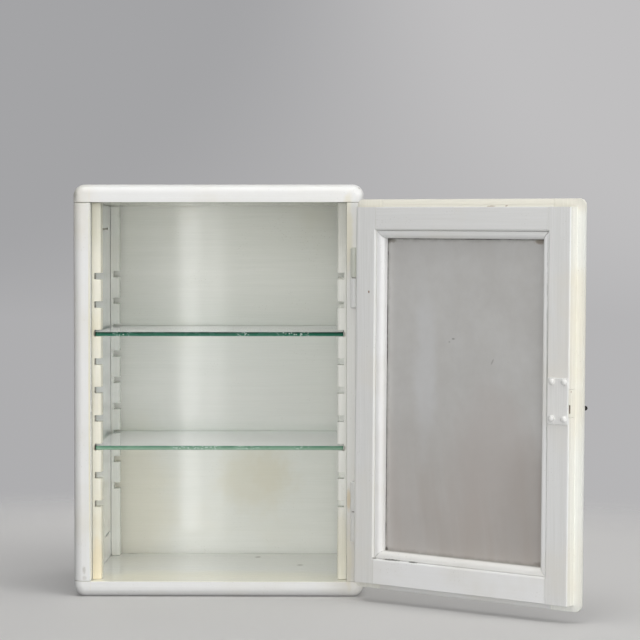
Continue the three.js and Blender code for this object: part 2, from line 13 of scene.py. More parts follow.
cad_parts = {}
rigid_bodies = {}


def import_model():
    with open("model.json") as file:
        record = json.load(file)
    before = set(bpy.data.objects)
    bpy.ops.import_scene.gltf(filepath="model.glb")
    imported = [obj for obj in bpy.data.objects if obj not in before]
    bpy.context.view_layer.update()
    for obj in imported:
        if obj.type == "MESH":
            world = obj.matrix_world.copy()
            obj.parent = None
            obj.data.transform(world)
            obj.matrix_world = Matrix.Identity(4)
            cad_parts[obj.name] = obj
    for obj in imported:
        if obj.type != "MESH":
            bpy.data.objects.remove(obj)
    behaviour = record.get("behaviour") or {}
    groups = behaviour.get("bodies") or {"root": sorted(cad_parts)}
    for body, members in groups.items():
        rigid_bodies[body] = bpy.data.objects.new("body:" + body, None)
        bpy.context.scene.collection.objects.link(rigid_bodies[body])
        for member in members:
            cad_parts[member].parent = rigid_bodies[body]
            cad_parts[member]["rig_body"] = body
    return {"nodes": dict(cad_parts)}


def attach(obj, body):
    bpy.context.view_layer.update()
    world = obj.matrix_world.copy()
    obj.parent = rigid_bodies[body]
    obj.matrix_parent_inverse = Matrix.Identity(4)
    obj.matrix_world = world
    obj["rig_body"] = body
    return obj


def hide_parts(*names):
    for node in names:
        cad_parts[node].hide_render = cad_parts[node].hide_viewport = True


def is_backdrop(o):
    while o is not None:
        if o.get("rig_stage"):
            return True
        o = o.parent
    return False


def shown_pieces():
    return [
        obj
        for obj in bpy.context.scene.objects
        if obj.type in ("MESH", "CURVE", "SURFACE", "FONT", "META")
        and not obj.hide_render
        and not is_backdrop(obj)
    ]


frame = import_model()

log = logging.getLogger("cabinet")

Tint = tuple[float, float, float]
Point = tuple[float, float, float]
Limits = tuple[float, float]
# Clouds per unit, then the values of their pattern that become 0 and 1
Clouds = tuple[float, float, float]
Node = bpy.types.Node
Socket = bpy.types.NodeSocket
Sockets = bpy.types.bpy_prop_collection
Tree = bpy.types.NodeTree
Material = bpy.types.Material
Piece = bpy.types.Object
Feed = Union[float, Sequence[float], Socket]
FaceTest = Callable[[Vector, Vector], bool]
FaceZone = Callable[[Vector, Vector], int]
EdgeShare = Callable[[Vector], float]

ORIGIN = (0.0, 0.0, 0.0)
UNIT = (1.0, 1.0, 1.0)
STROKE_LONG = 0.075
STROKE_FINE = 0.0017
DOOR_LEAN = math.radians(37.5)
UPPER_SHELF = 0.3668
LOWER_SHELF = 0.2068
PAINT_IOR = 1.5
GLASS_IOR = 1.5
SHARP_ANGLE = 30.0
SMOOTH_ANGLE = 35.0
WELD = 0.000005
FLAT_ANGLE = 0.8
FACING = 0.9

BOARD_PAINTS = {
    "top_board": "case_across",
    "bottom_board": "case_across",
    "left_side": "case_upright",
    "right_side": "case_right_painted_shade",
}
LADDERS = ("front_left_ladder", "front_right_ladder", "rear_left_ladder", "rear_right_ladder")
SHELVES = ("upper_shelf", "lower_shelf")
STILE_PAINTS = ("door_front_upright", "door_inner_upright", "door_step", "door_cove_painted_highlight", "door_lip")
# One paint for each of the faces that DoorFace numbers
FRAME_PAINTS = {
    "hinge_stile": STILE_PAINTS,
    "lock_stile": STILE_PAINTS,
    "top_rail": ("door_front_across", "door_inner_across", *("door_lip_across",) * 3),
    "bottom_rail": ("door_front_across", "door_inner_foot_lit", *("door_front_across",) * 3),
}
BEAD_PAINTS = {
    "bottom_bead": "bead_foot_lit",
    "hinge_side_bead": "bead_upright",
    "top_bead": "bead_across",
    "lock_side_bead": "bead_upright",
}
HINGE_HALVES = (
    "upper_hinge_frame_half", "lower_hinge_frame_half",
    "upper_hinge_door_half", "lower_hinge_door_half",
)
THIN_PLATES = ("lock_faceplate", "strike_plate")
STEEL_WORKS = (
    "upper_hinge_pin", "lower_hinge_pin", "latch_bolt", "knob_spindle", "lock_cam", "lock_case",
)
# Fittings whose finish isn't the usual one of their kind
FITTING_PAINTS = {
    "lock_faceplate": "door_step",
    "upper_hinge_door_half": "hinge_painted_shade",
    "latch_bolt": "rusty_bolt",
}


def srgb(red: int, green: int, blue: int) -> Tint:
    """Turn a colour of 0 to 255 into the linear colour that a shader takes.

    Args:
        red: Red part, 0 to 255.
        green: Green part, 0 to 255.
        blue: Blue part, 0 to 255.

    Returns:
        The linear colour.
    """

    def linear(part: int) -> float:
        """Give one part its linear value."""
        share = part / 255.0
        return share / 12.92 if share <= 0.04045 else ((share + 0.055) / 1.055) ** 2.4

    return linear(red), linear(green), linear(blue)


class Strokes(Enum):
    """Way that the brush went, with the size of a stroke along x, y and z and its turn about z."""

    ALONG_X = ((STROKE_LONG, STROKE_FINE, STROKE_FINE), 0.0)
    ALONG_Y = ((STROKE_FINE, STROKE_LONG, STROKE_FINE), 0.0)
    ALONG_Z = ((STROKE_FINE, STROKE_FINE, STROKE_LONG), 0.0)
    DOOR_ACROSS = ((STROKE_LONG, STROKE_FINE, STROKE_FINE), -DOOR_LEAN)
    DOOR_UPRIGHT = ((STROKE_FINE, STROKE_FINE, STROKE_LONG), -DOOR_LEAN)

    @property
    def size(self) -> Point:
        """Size of one stroke in metres."""
        return self.value[0]

    @property
    def turn(self) -> Point:
        """Turn of the strokes about x, y and z in radians."""
        return 0.0, 0.0, self.value[1]


class DoorFace(IntEnum):
    """Faces of the door's frame that have a paint of their own."""

    FRONT = 0
    INNER = 1
    STEP = 2
    COVE = 3
    LIP = 4


class NodeSheet:
    """Adds nodes to one node tree and joins them."""

    column_width: float = 180.0
    bump_strength: float = 0.6

    def __init__(self, tree: Tree) -> None:
        """Start on a tree."""
        self.tree = tree
        self.column = 0

    def add(self, kind: str, **settings: object) -> Node:
        """Add one node.

        Args:
            kind: Blender's name of the node type.
            settings: Properties to set on the node.

        Returns:
            The new node.
        """
        node = self.tree.nodes.new(kind)
        node.location = (self.column_width * self.column, 0.0)
        self.column += 1
        for name, value in settings.items():
            setattr(node, name, value)
        return node

    def feed(self, socket: Socket, value: Feed) -> None:
        """Link a socket to another, or set its plain value.

        Args:
            socket: Socket to feed.
            value: Socket to link from, or a number, a vector or a colour.
        """
        if isinstance(value, Socket):
            self.tree.links.new(value, socket)
        elif isinstance(value, (tuple, list)) and socket.type == "RGBA" and len(value) == 3:
            socket.default_value = (*value, 1.0)
        else:
            socket.default_value = value

    def fill(self, node: Node, values: dict[str, Feed]) -> None:
        """Feed several sockets of a node, by the names of the sockets."""
        for name, value in values.items():
            self.feed(node.inputs[name], value)

    def math(self, operation: str, first: Feed, second: Feed) -> Socket:
        """Join two values by one sum.

        Args:
            operation: Blender's name of the sum.
            first: First value.
            second: Second value.

        Returns:
            The socket of the result.
        """
        node = self.add("ShaderNodeMath", operation=operation)
        self.feed(node.inputs[0], first)
        self.feed(node.inputs[1], second)
        return node.outputs[0]

    def vector(self, operation: str, first: Feed, second: Feed = ORIGIN) -> Socket:
        """Join two vectors by one sum.

        Args:
            operation: Blender's name of the sum.
            first: First vector.
            second: Second vector.

        Returns:
            The socket of the resulting vector.
        """
        node = self.add("ShaderNodeVectorMath", operation=operation)
        self.feed(node.inputs[0], first)
        self.feed(node.inputs[1], second)
        return node.outputs[0]

    def length(self, vector: Feed) -> Socket:
        """Measure a vector.

        Args:
            vector: Vector to measure.

        Returns:
            The socket of its length.
        """
        node = self.add("ShaderNodeVectorMath", operation="LENGTH")
        self.feed(node.inputs[0], vector)
        return node.outputs["Value"]

    def part(self, vector: Feed, axis: str) -> Socket:
        """Take one part of a vector.

        Args:
            vector: Vector to split.
            axis: X, Y or Z.

        Returns:
            The socket of that part.
        """
        node = self.add("ShaderNodeSeparateXYZ")
        self.feed(node.inputs[0], vector)
        return node.outputs[axis]

    def object_place(self) -> Socket:
        """Give the coordinates of the object that carries the material."""
        return self.add("ShaderNodeTexCoord").outputs["Object"]

    def remap(self, place: Feed, start: Feed = ORIGIN, turn: Feed = ORIGIN,
              size: Feed = UNIT) -> Socket:
        """Measure coordinates from another start, turned and in other units.

        Args:
            place: Coordinates.
            start: Place that becomes the origin.
            turn: Turn about x, y and z in radians.
            size: Length of one unit along x, y and z.

        Returns:
            The socket of the new coordinates.
        """
        node = self.add("ShaderNodeMapping", vector_type="TEXTURE")
        self.fill(node, {"Vector": place, "Location": start, "Rotation": turn, "Scale": size})
        return node.outputs[0]

    def mix(self, share: Feed, under: Feed, over: Feed) -> Socket:
        """Lay one colour over another.

        Args:
            share: How much of the upper colour shows.
            under: Lower colour.
            over: Upper colour.

        Returns:
            The socket of the mixed colour.
        """
        node = self.add("ShaderNodeMix", data_type="RGBA")
        self.feed(node.inputs["Factor"], share)
        self.feed(node.inputs[6], under)
        self.feed(node.inputs[7], over)
        return node.outputs[2]

    def tint(self, mask: Feed, strength: float, under: Feed, over: Feed) -> Socket:
        """Lay a colour over another where a mask shows it, at most with a given strength."""
        return self.mix(self.math("MULTIPLY", mask, strength), under, over)

    def ramp(self, value: Feed, low: Feed, high: Feed, start: float = 0.0,
             end: float = 1.0) -> Socket:
        """Spread a value smoothly over a new range.

        Args:
            value: Value to spread.
            low: Value that becomes start.
            high: Value that becomes end.
            start: Result at low.
            end: Result at high.

        Returns:
            The socket of the result.
        """
        node = self.add("ShaderNodeMapRange", interpolation_type="SMOOTHSTEP")
        self.fill(node, {
            "Value": value, "From Min": low, "From Max": high, "To Min": start, "To Max": end})
        return node.outputs[0]

    def between(self, mask: Feed, limits: Limits) -> Socket:
        """Spread a mask of 0 to 1 over new limits."""
        return self.ramp(mask, 0.0, 1.0, *limits)

    def noise(self, place: Feed, scale: Feed, detail: float = 2.0, rough: float = 0.5) -> Socket:
        """Add a cloud pattern.

        Args:
            place: Coordinates.
            scale: Clouds per unit.
            detail: Number of finer layers.
            rough: Strength of the finer layers.

        Returns:
            The socket of the pattern's value.
        """
        node = self.add("ShaderNodeTexNoise")
        self.fill(node, {"Vector": place, "Scale": scale, "Detail": detail, "Roughness": rough})
        return node.outputs["Fac"]

    def bump(self, height: Feed, distance: float, under: Socket | None = None) -> Socket:
        """Tilt a surface by a height pattern.

        Args:
            height: Pattern of 0 to 1.
            distance: Height of 1 in metres.
            under: Normal that is tilted, or None for the surface's own.

        Returns:
            The socket of the tilted normal.
        """
        node = self.add("ShaderNodeBump")
        self.fill(node, {
            "Strength": self.bump_strength, "Distance": distance, "Height": height})
        if under is not None:
            self.feed(node.inputs["Normal"], under)
        return node.outputs["Normal"]


class Effects:
    """Shader node groups that the finishes share, each built once."""

    vector: str = "NodeSocketVector"
    value: str = "NodeSocketFloat"

    def __init__(self) -> None:
        """Build all the groups."""
        self.brush = self.build_brush()
        self.lumps = self.build_lumps()
        self.ageing = self.build_ageing()
        self.blemish = self.build_blemish()
        self.flecks = self.build_flecks()

    def start(self, name: str, inputs: dict[str, str],
              outputs: Sequence[str]) -> tuple[Tree, NodeSheet, Sockets, Sockets]:
        """Begin a group with named sockets.

        Args:
            name: Name of the group.
            inputs: Socket types by input name.
            outputs: Names of the value outputs.

        Returns:
            The group, its sheet, the sockets that it is given and those that it fills.
        """
        group = bpy.data.node_groups.new(name, "ShaderNodeTree")
        for label, kind in inputs.items():
            group.interface.new_socket(label, in_out="INPUT", socket_type=kind)
        for label in outputs:
            group.interface.new_socket(label, in_out="OUTPUT", socket_type=self.value)
        sheet = NodeSheet(group)
        given = sheet.add("NodeGroupInput").outputs
        return group, sheet, given, sheet.add("NodeGroupOutput").inputs

    def build_lumps(self) -> Tree:
        """Make uneven coats: soft lumps with some small grains of dirt under the paint.

        Returns:
            The group.
        """
        group, sheet, given, made = self.start("lumps", {"Place": self.vector}, ("Height",))
        soft = sheet.noise(given["Place"], scale=110.0, detail=2.0, rough=0.55)
        grains = sheet.ramp(sheet.noise(given["Place"], scale=420.0, detail=1.0), 0.66, 0.78)
        sheet.feed(made["Height"], sheet.math("ADD", soft, sheet.math("MULTIPLY", grains, 0.35)))
        return group

    def build_brush(self) -> Tree:
        """Make brush marks: long fine ridges, broken up by broader ones.

        Returns:
            The group.
        """
        group, sheet, given, made = self.start(
            "brush_marks", {"Place": self.vector}, ("Streak", "Height"))
        fine = sheet.noise(given["Place"], scale=1.0, detail=3.0, rough=0.6)
        broad = sheet.noise(given["Place"], scale=0.23, detail=2.0, rough=0.5)
        both = sheet.math(
            "ADD", sheet.math("MULTIPLY", fine, 0.6), sheet.math("MULTIPLY", broad, 0.4))
        sheet.feed(made["Streak"], sheet.ramp(both, 0.36, 0.64))
        sheet.feed(made["Height"], both)
        return group

    def build_ageing(self) -> Tree:
        """Make the slow drift of old paint, as large soft clouds.

        Returns:
            The group.
        """
        group, sheet, given, made = self.start(
            "ageing",
            {"Place": self.vector, "Scale": self.value, "Low": self.value, "High": self.value},
            ("Mask",))
        cloud = sheet.noise(given["Place"], given["Scale"], detail=4.0, rough=0.55)
        sheet.feed(made["Mask"], sheet.ramp(cloud, given["Low"], given["High"]))
        return group

    def build_blemish(self) -> Tree:
        """Make one ragged stain, scratch or chip of a given reach round a centre.

        Returns:
            The group.
        """
        group, sheet, given, made = self.start(
            "blemish",
            {"Place": self.vector, "Centre": self.vector, "Reach": self.vector,
             "Turn": self.vector, "Ragged": self.value, "Grain": self.value},
            ("Mask",))
        turned = sheet.add("ShaderNodeVectorRotate", rotation_type="EULER_XYZ")
        sheet.fill(turned, {
            "Vector": sheet.vector("SUBTRACT", given["Place"], given["Centre"]),
            "Rotation": given["Turn"]})
        far = sheet.length(sheet.vector("DIVIDE", turned.outputs[0], given["Reach"]))
        cloud = sheet.noise(given["Place"], given["Grain"], detail=3.0, rough=0.6)
        ragged = sheet.math("MULTIPLY", sheet.math("SUBTRACT", cloud, 0.5), given["Ragged"])
        sheet.feed(made["Mask"], sheet.ramp(sheet.math("ADD", far, ragged), 1.0, 0.35))
        return group

    def build_flecks(self) -> Tree:
        """Make scattered small specks.

        Returns:
            The group.
        """
        group, sheet, given, made = self.start(
            "flecks",
            {"Place": self.vector, "Scale": self.value, "Size": self.value},
            ("Mask",))
        cells = sheet.add("ShaderNodeTexVoronoi")
        sheet.fill(cells, {"Vector": given["Place"], "Scale": given["Scale"]})
        dots = sheet.ramp(cells.outputs["Distance"], given["Size"], 0.0)
        some = sheet.ramp(sheet.noise(given["Place"], scale=19.0), 0.52, 0.64)
        sheet.feed(made["Mask"], sheet.math("MULTIPLY", dots, some))
        return group

    @staticmethod
    def use(sheet: NodeSheet, group: Tree, **values: Feed) -> Node:
        """Put a group into a material.

        Args:
            sheet: Sheet of the material.
            group: Group to place.
            values: Values of its inputs by name.

        Returns:
            The group node.
        """
        node = sheet.add("ShaderNodeGroup", node_tree=group)
        sheet.fill(node, values)
        return node

    def clouds(self, sheet: NodeSheet, place: Feed, clouds: Clouds) -> Socket:
        """Lay soft clouds over a material.

        Args:
            sheet: Sheet of the material.
            place: Coordinates.
            clouds: Scale and limits of the clouds.

        Returns:
            The socket of their mask.
        """
        scale, low, high = clouds
        node = self.use(sheet, self.ageing, Place=place, Scale=scale, Low=low, High=high)
        return node.outputs["Mask"]

    def specks(self, sheet: NodeSheet, place: Feed, scale: float, size: float) -> Socket:
        """Scatter specks of a size over a material, so many to a unit, and give their mask."""
        node = self.use(sheet, self.flecks, Place=place, Scale=scale, Size=size)
        return node.outputs["Mask"]


@dataclass(frozen=True)
class DoorPlace:
    """Where the open door stands, from its pin, its turn and its sag."""

    pin: Point = (0.1893, -0.1658, 0.0)
    turn: float = math.radians(142.5)
    sag: float = math.radians(-0.53)
    sag_pivot: Point = (0.1747, 0.0, 0.28495)
    front: float = -0.1605

    def matrix(self) -> Matrix:
        """Turn from the shut door's drawing, with its front plane at y 0, to the place at rest.

        Returns:
            The matrix of that turn.
        """
        pivot = Matrix.Translation(self.sag_pivot)
        tilt = pivot @ Matrix.Rotation(self.sag, 4, "Y") @ pivot.inverted()
        pin = Matrix.Translation(self.pin)
        swing = pin @ Matrix.Rotation(self.turn, 4, "Z") @ pin.inverted()
        return swing @ Matrix.Translation((0.0, self.front, 0.0)) @ tilt

    def drawn(self, spot: Vector) -> Vector:
        """Turn a place on the open door back to the shut door's drawing."""
        return self.matrix().inverted() @ spot

    def span(self, node: str) -> tuple[Vector, Vector]:
        """Give the lowest and highest corner of a node in the shut door's drawing.

        Args:
            node: Name of the node.

        Returns:
            The two corners.
        """
        back = self.matrix().inverted()
        spots = [back @ corner.co for corner in frame["nodes"][node].data.vertices]
        low = Vector([min(spot[axis] for spot in spots) for axis in range(3)])
        high = Vector([max(spot[axis] for spot in spots) for axis in range(3)])
        return low, high

    def sight(self) -> tuple[Vector, Vector]:
        """Give the corners of the glass between the beads in the shut door's drawing.

        Returns:
            The lower and the upper corner, far enough apart in y to hold the glass.
        """
        low = Vector((self.span("lock_side_bead")[1].x, -1.0, self.span("bottom_bead")[1].z))
        high = Vector((self.span("hinge_side_bead")[0].x, 1.0, self.span("top_bead")[0].z))
        return low, high

    def coordinates(self, sheet: NodeSheet, place: Socket) -> Socket:
        """Turn a shader's coordinates back to the shut door's drawing."""
        there = self.matrix()
        return sheet.remap(place, start=there.translation, turn=there.to_euler())


@dataclass(frozen=True)
class Blemish:
    """A stain, scratch or chip at one place of a painted surface."""

    centre: Point
    reach: Point
    colour: Tint
    strength: float = 0.8
    ragged: float = 0.6
    grain: float = 220.0
    turn: Point = ORIGIN

    def lay(self, effects: Effects, sheet: NodeSheet, place: Feed, colour: Feed) -> Socket:
        """Lay the mark over a colour.

        Args:
            effects: Shared node groups.
            sheet: Sheet of the material.
            place: Coordinates that the mark's centre is given in.
            colour: Colour under the mark.

        Returns:
            The socket of the marked colour.
        """
        spot = effects.use(
            sheet, effects.blemish, Place=place, Centre=self.centre, Reach=self.reach,
            Turn=self.turn, Ragged=self.ragged, Grain=self.grain)
        return sheet.tint(spot.outputs["Mask"], self.strength, colour, self.colour)


def on_door(across: float, deep: float, high: float) -> Point:
    """Give the place on the open door of a point of the shut door's drawing."""
    return tuple(DoorPlace().matrix() @ Vector((across, deep, high)))


def new_material(name: str) -> tuple[Material, NodeSheet, Node, Node]:
    """Make a node material with a plain Principled shader.

    Args:
        name: Name of the finish.

    Returns:
        The material, its sheet, its Principled shader and its output node.
    """
    material = bpy.data.materials.new(name)
    material.use_nodes = True
    material.node_tree.nodes.clear()
    sheet = NodeSheet(material.node_tree)
    out = sheet.add("ShaderNodeOutputMaterial")
    shader = sheet.add("ShaderNodeBsdfPrincipled")
    sheet.feed(out.inputs["Surface"], shader.outputs["BSDF"])
    return material, sheet, shader, out


@dataclass(frozen=True)
class Coats:
    """Colours of one paint: where it is full, where the brush left it thin, and where it aged."""

    full: Tint
    thin: Tint
    aged: Tint

    @classmethod
    def of(cls, full: Sequence[int], thin: Sequence[int], aged: Sequence[int]) -> "Coats":
        """Take the three colours as red, green and blue of 0 to 255."""
        return cls(srgb(*full), srgb(*thin), srgb(*aged))


@dataclass(frozen=True)
class Enamel:
    """Brushed enamel paint on wood or steel, with its age."""

    name: str
    coats: Coats
    strokes: Strokes
    ageing: Clouds = (7.0, 0.45, 0.75)
    streak: float = 0.5
    gloss: Limits = (0.30, 0.42)
    relief: float = 0.00012
    lump: float = 0.00025
    fleck_scale: float = 260.0
    fleck_size: float = 0.21
    fleck_strength: float = 0.45
    fleck_tint: Tint = srgb(150, 140, 120)
    dust: float = 0.0
    dust_facing: float = 0.93
    blemishes: tuple[Blemish, ...] = ()

    def paint(self, effects: Effects, sheet: NodeSheet, place: Socket, streak: Socket) -> Socket:
        """Mix the colour from the coats, the flecks and the marks.

        Args:
            effects: Shared node groups.
            sheet: Sheet of the material.
            place: Object coordinates.
            streak: Mask of the brush strokes.

        Returns:
            The socket of the colour.
        """
        colour = sheet.tint(streak, self.streak, self.coats.full, self.coats.thin)
        colour = sheet.mix(effects.clouds(sheet, place, self.ageing), colour, self.coats.aged)
        flecks = effects.specks(sheet, place, self.fleck_scale, self.fleck_size)
        colour = sheet.tint(flecks, self.fleck_strength, colour, self.fleck_tint)
        for mark in self.blemishes:
            colour = mark.lay(effects, sheet, place, colour)
        return colour

    def wear(self, sheet: NodeSheet, streak: Socket) -> Socket:
        """Give the roughness, with that of the dust on faces that look up.

        Args:
            sheet: Sheet of the material.
            streak: Mask of the brush strokes.

        Returns:
            The socket of the roughness.
        """
        rough = sheet.between(streak, self.gloss)
        if not self.dust:
            return rough
        normal = sheet.add("ShaderNodeNewGeometry").outputs["Normal"]
        dusty = sheet.ramp(sheet.part(normal, "Z"), self.dust_facing, 1.0, 0.0, self.dust)
        return sheet.math("ADD", rough, dusty)

    def build(self, effects: Effects) -> Material:
        """Make the material.

        Args:
            effects: Shared node groups.

        Returns:
            The material.
        """
        material, sheet, shader, _ = new_material(self.name)
        place = sheet.object_place()
        along = sheet.remap(place, turn=self.strokes.turn, size=self.strokes.size)
        brush = effects.use(sheet, effects.brush, Place=along).outputs
        lumps = effects.use(sheet, effects.lumps, Place=place).outputs
        ridges = sheet.bump(brush["Height"], self.relief)
        sheet.fill(shader, {
            "Base Color": self.paint(effects, sheet, place, brush["Streak"]),
            "Roughness": self.wear(sheet, brush["Streak"]),
            "Normal": sheet.bump(lumps["Height"], self.lump, ridges),
            "IOR": PAINT_IOR})
        return material


@dataclass(frozen=True)
class ClearGlass:
    """Clear float glass of the shelves, faintly green inside, with a film of dust."""

    name: str = "shelf_glass_clear"
    film: Clouds = (14.0, 0.42, 0.7)
    clean: Tint = (1.0, 1.0, 1.0)
    filmed: Tint = (0.97, 0.985, 0.98)
    gloss: Limits = (0.01, 0.05)
    clearness: float = 0.8
    sheen: float = 0.32
    sheen_dull: float = 0.4
    shadow: Tint = (0.98, 0.99, 0.985)
    depth: Tint = (0.36, 0.72, 0.58)
    density: float = 2.0

    def build(self, effects: Effects) -> Material:
        """Make the material.

        Args:
            effects: Shared node groups.

        Returns:
            The material.
        """
        material, sheet, shader, out = new_material(self.name)
        film = effects.clouds(sheet, sheet.object_place(), self.film)
        sheet.fill(shader, {
            "Base Color": sheet.mix(film, self.clean, self.filmed),
            "Roughness": sheet.between(film, self.gloss),
            "IOR": GLASS_IOR,
            "Transmission Weight": self.clearness,
            "Sheen Weight": self.sheen,
            "Sheen Roughness": self.sheen_dull})
        clear = sheet.add("ShaderNodeBsdfTransparent")
        sheet.fill(clear, {"Color": self.shadow})
        ray = sheet.add("ShaderNodeLightPath").outputs["Is Shadow Ray"]
        blend = sheet.add("ShaderNodeMixShader")
        for socket, value in zip(
                blend.inputs, (ray, shader.outputs["BSDF"], clear.outputs["BSDF"])):
            sheet.feed(socket, value)
        inside = sheet.add("ShaderNodeVolumeAbsorption")
        sheet.fill(inside, {"Color": self.depth, "Density": self.density})
        sheet.fill(out, {"Surface": blend.outputs[0], "Volume": inside.outputs[0]})
        return material


@dataclass(frozen=True)
class GreenEdge:
    """Ground edge of one glass shelf, nicked and dusty, with painted shade on its upper half and painted
    light on its lower half.
    """

    name: str
    level: float
    above: Tint
    below: Tint
    half: float = 0.0022
    film: Clouds = (45.0, 0.36, 0.7)
    film_strength: float = 0.3
    nick: Tint = srgb(206, 224, 214)
    nick_scale: float = 330.0
    nick_size: float = 0.5
    gloss: Limits = (0.15, 0.4)

    def build(self, effects: Effects) -> Material:
        """Make the material.

        Args:
            effects: Shared node groups.

        Returns:
            The material.
        """
        material, sheet, shader, _ = new_material(self.name)
        place = sheet.object_place()
        film = effects.clouds(sheet, place, self.film)
        nicks = effects.specks(sheet, place, self.nick_scale, self.nick_size)
        height = sheet.ramp(
            sheet.part(place, "Z"), self.level - self.half, self.level + self.half)
        colour = sheet.mix(height, self.below, self.above)
        colour = sheet.tint(film, self.film_strength, colour, self.below)
        sheet.fill(shader, {
            "Base Color": sheet.mix(nicks, colour, self.nick),
            "Roughness": sheet.between(film, self.gloss),
            "IOR": GLASS_IOR})
        return material


@dataclass(frozen=True)
class CloudedPane:
    """Old door pane, clouded all over, wiped in the middle, dirty along the beads, with putty and
    painted shadow at their foot.
    """

    name: str = "clouded_pane"
    place: DoorPlace = DoorPlace()
    # Paler at the top, darker and browner towards the foot: a painted view of the brown surface below,
    # seen blurred through the clouded glass
    top: Tint = srgb(221, 220, 217)
    foot: Tint = srgb(203, 195, 188)
    top_to_foot: Limits = (0.32, 0.09)
    wiped: Tint = srgb(224, 224, 223)
    dull: Tint = srgb(198, 195, 190)
    dirt: Tint = srgb(96, 94, 84)
    # Dark line at the foot of the beads: partly old putty, partly painted shadow
    putty_and_shadow: Tint = srgb(48, 46, 40)
    corner: float = 0.010
    dirt_reach: Limits = (-0.006, 0.0015)
    dirt_ragged: float = 0.008
    dirt_strength: float = 0.38
    putty_and_shadow_reach: Limits = (-0.0014, -0.0004)
    putty_and_shadow_strength: Limits = (0.35, 0.9)
    putty_and_shadow_level: Limits = (0.078, 0.11)
    wipe_turn: Point = (0.0, math.radians(7.0), 0.0)
    wipe_size: Point = (0.035, 1.0, 0.24)
    wipes: Clouds = (1.0, 0.34, 0.68)
    wipe_strength: float = 0.35
    clouds: Clouds = (11.0, 0.35, 0.7)
    cloud_strength: float = 0.35
    mottle: Clouds = (60.0, 0.3, 0.75)
    mottle_strength: float = 0.2
    gloss: Limits = (0.34, 0.5)
    ior: float = 1.48
    clearness: float = 0.2
    marks: tuple[Blemish, ...] = (
        # Painted reflection: a pale bluish band on the hinge side of the pane
        Blemish((0.0636, 0.0006, 0.320), (0.024, 0.02, 0.150), srgb(232, 233, 235), 0.32, 1.1, 24.0),
        Blemish((-0.045, 0.0006, 0.21), (0.09, 0.02, 0.13), srgb(205, 197, 192), 0.45, 0.8, 14.0),
        Blemish((-0.105, 0.0006, 0.13), (0.075, 0.02, 0.13), srgb(184, 176, 169), 0.4, 0.8, 12.0),
        Blemish((0.124, 0.0006, 0.4985), (0.012, 0.02, 0.005), srgb(112, 102, 84), 0.6, 1.2, 160.0),
        Blemish((-0.119, 0.0006, 0.4985), (0.011, 0.02, 0.0045), srgb(136, 114, 88), 0.6, 1.2, 160.0),
        Blemish((-0.125, 0.0006, 0.0755), (0.012, 0.02, 0.004), srgb(120, 104, 92), 0.4, 1.0, 160.0),
        Blemish((0.1265, 0.0006, 0.0745), (0.0034, 0.02, 0.0038), srgb(52, 48, 42), 0.8, 0.8, 300.0),
        Blemish((0.108, 0.0006, 0.4995), (0.008, 0.02, 0.0022), srgb(236, 234, 230), 0.8, 0.6, 200.0),
        Blemish((0.0177, 0.0006, 0.3668), (0.0036, 0.02, 0.0016), srgb(104, 102, 98), 0.55, 0.8, 300.0),
        Blemish((0.0242, 0.0006, 0.3625), (0.0022, 0.02, 0.0014), srgb(120, 118, 112), 0.4, 0.8, 300.0),
        Blemish((-0.0458, 0.0006, 0.3383), (0.0016, 0.02, 0.0060), srgb(130, 126, 122), 0.45, 0.5, 300.0,
                (0.0, 0.5, 0.0)),
    )

    def bead_dirt_putty_and_shadow(self, sheet: NodeSheet, spot: Socket) -> tuple[Socket, Socket]:
        """Make the masks of the dirt along the beads and of the putty and painted shadow at their foot.

        The dirt is deeper in the corners. The putty and painted shadow show only above the bottom bead.

        Args:
            sheet: Sheet of the material.
            spot: Coordinates in the shut door's drawing.

        Returns:
            The sockets of the two masks.
        """
        low, high = self.place.sight()
        flat = (high - low) / 2.0 - Vector((self.corner,) * 3)
        away = sheet.vector("ABSOLUTE", sheet.vector("SUBTRACT", spot, tuple((low + high) / 2.0)))
        past = sheet.vector("SUBTRACT", away, tuple(flat))
        far = sheet.length(sheet.vector("MAXIMUM", past))
        cloud = sheet.math("SUBTRACT", sheet.noise(spot, scale=70.0, detail=3.0, rough=0.6), 0.5)
        ragged = sheet.math("ADD", far, sheet.math("MULTIPLY", cloud, self.dirt_ragged))
        dirt = sheet.ramp(
            ragged, *(self.corner + reach for reach in self.dirt_reach), end=self.dirt_strength)
        line = sheet.ramp(far, *(self.corner + reach for reach in self.putty_and_shadow_reach))
        breaks = sheet.noise(spot, scale=36.0, detail=3.0, rough=0.6)
        broken = sheet.ramp(breaks, 0.40, 0.60, *self.putty_and_shadow_strength)
        above = sheet.ramp(sheet.part(spot, "Z"), *self.putty_and_shadow_level)
        return dirt, sheet.math("MULTIPLY", sheet.math("MULTIPLY", line, broken), above)

    def build(self, effects: Effects) -> Material:
        """Make the material.

        Args:
            effects: Shared node groups.

        Returns:
            The material.
        """
        material, sheet, shader, _ = new_material(self.name)
        spot = self.place.coordinates(sheet, sheet.object_place())
        along = sheet.remap(spot, turn=self.wipe_turn, size=self.wipe_size)
        wipes = effects.clouds(sheet, along, self.wipes)
        height = sheet.ramp(sheet.part(spot, "Z"), *self.top_to_foot)
        colour = sheet.mix(height, self.top, self.foot)
        colour = sheet.tint(wipes, self.wipe_strength, colour, self.wiped)
        for clouds, strength in (
                (self.clouds, self.cloud_strength), (self.mottle, self.mottle_strength)):
            mask = effects.clouds(sheet, spot, clouds)
            colour = sheet.tint(mask, strength, colour, self.dull)
        for mark in self.marks:
            colour = mark.lay(effects, sheet, spot, colour)
        dirty, putty_and_shadow = self.bead_dirt_putty_and_shadow(sheet, spot)
        sheet.fill(shader, {
            "Base Color": sheet.mix(putty_and_shadow, sheet.mix(dirty, colour, self.dirt), self.putty_and_shadow),
            "Roughness": sheet.between(wipes, self.gloss),
            "IOR": self.ior,
            "Transmission Weight": self.clearness})
        return material


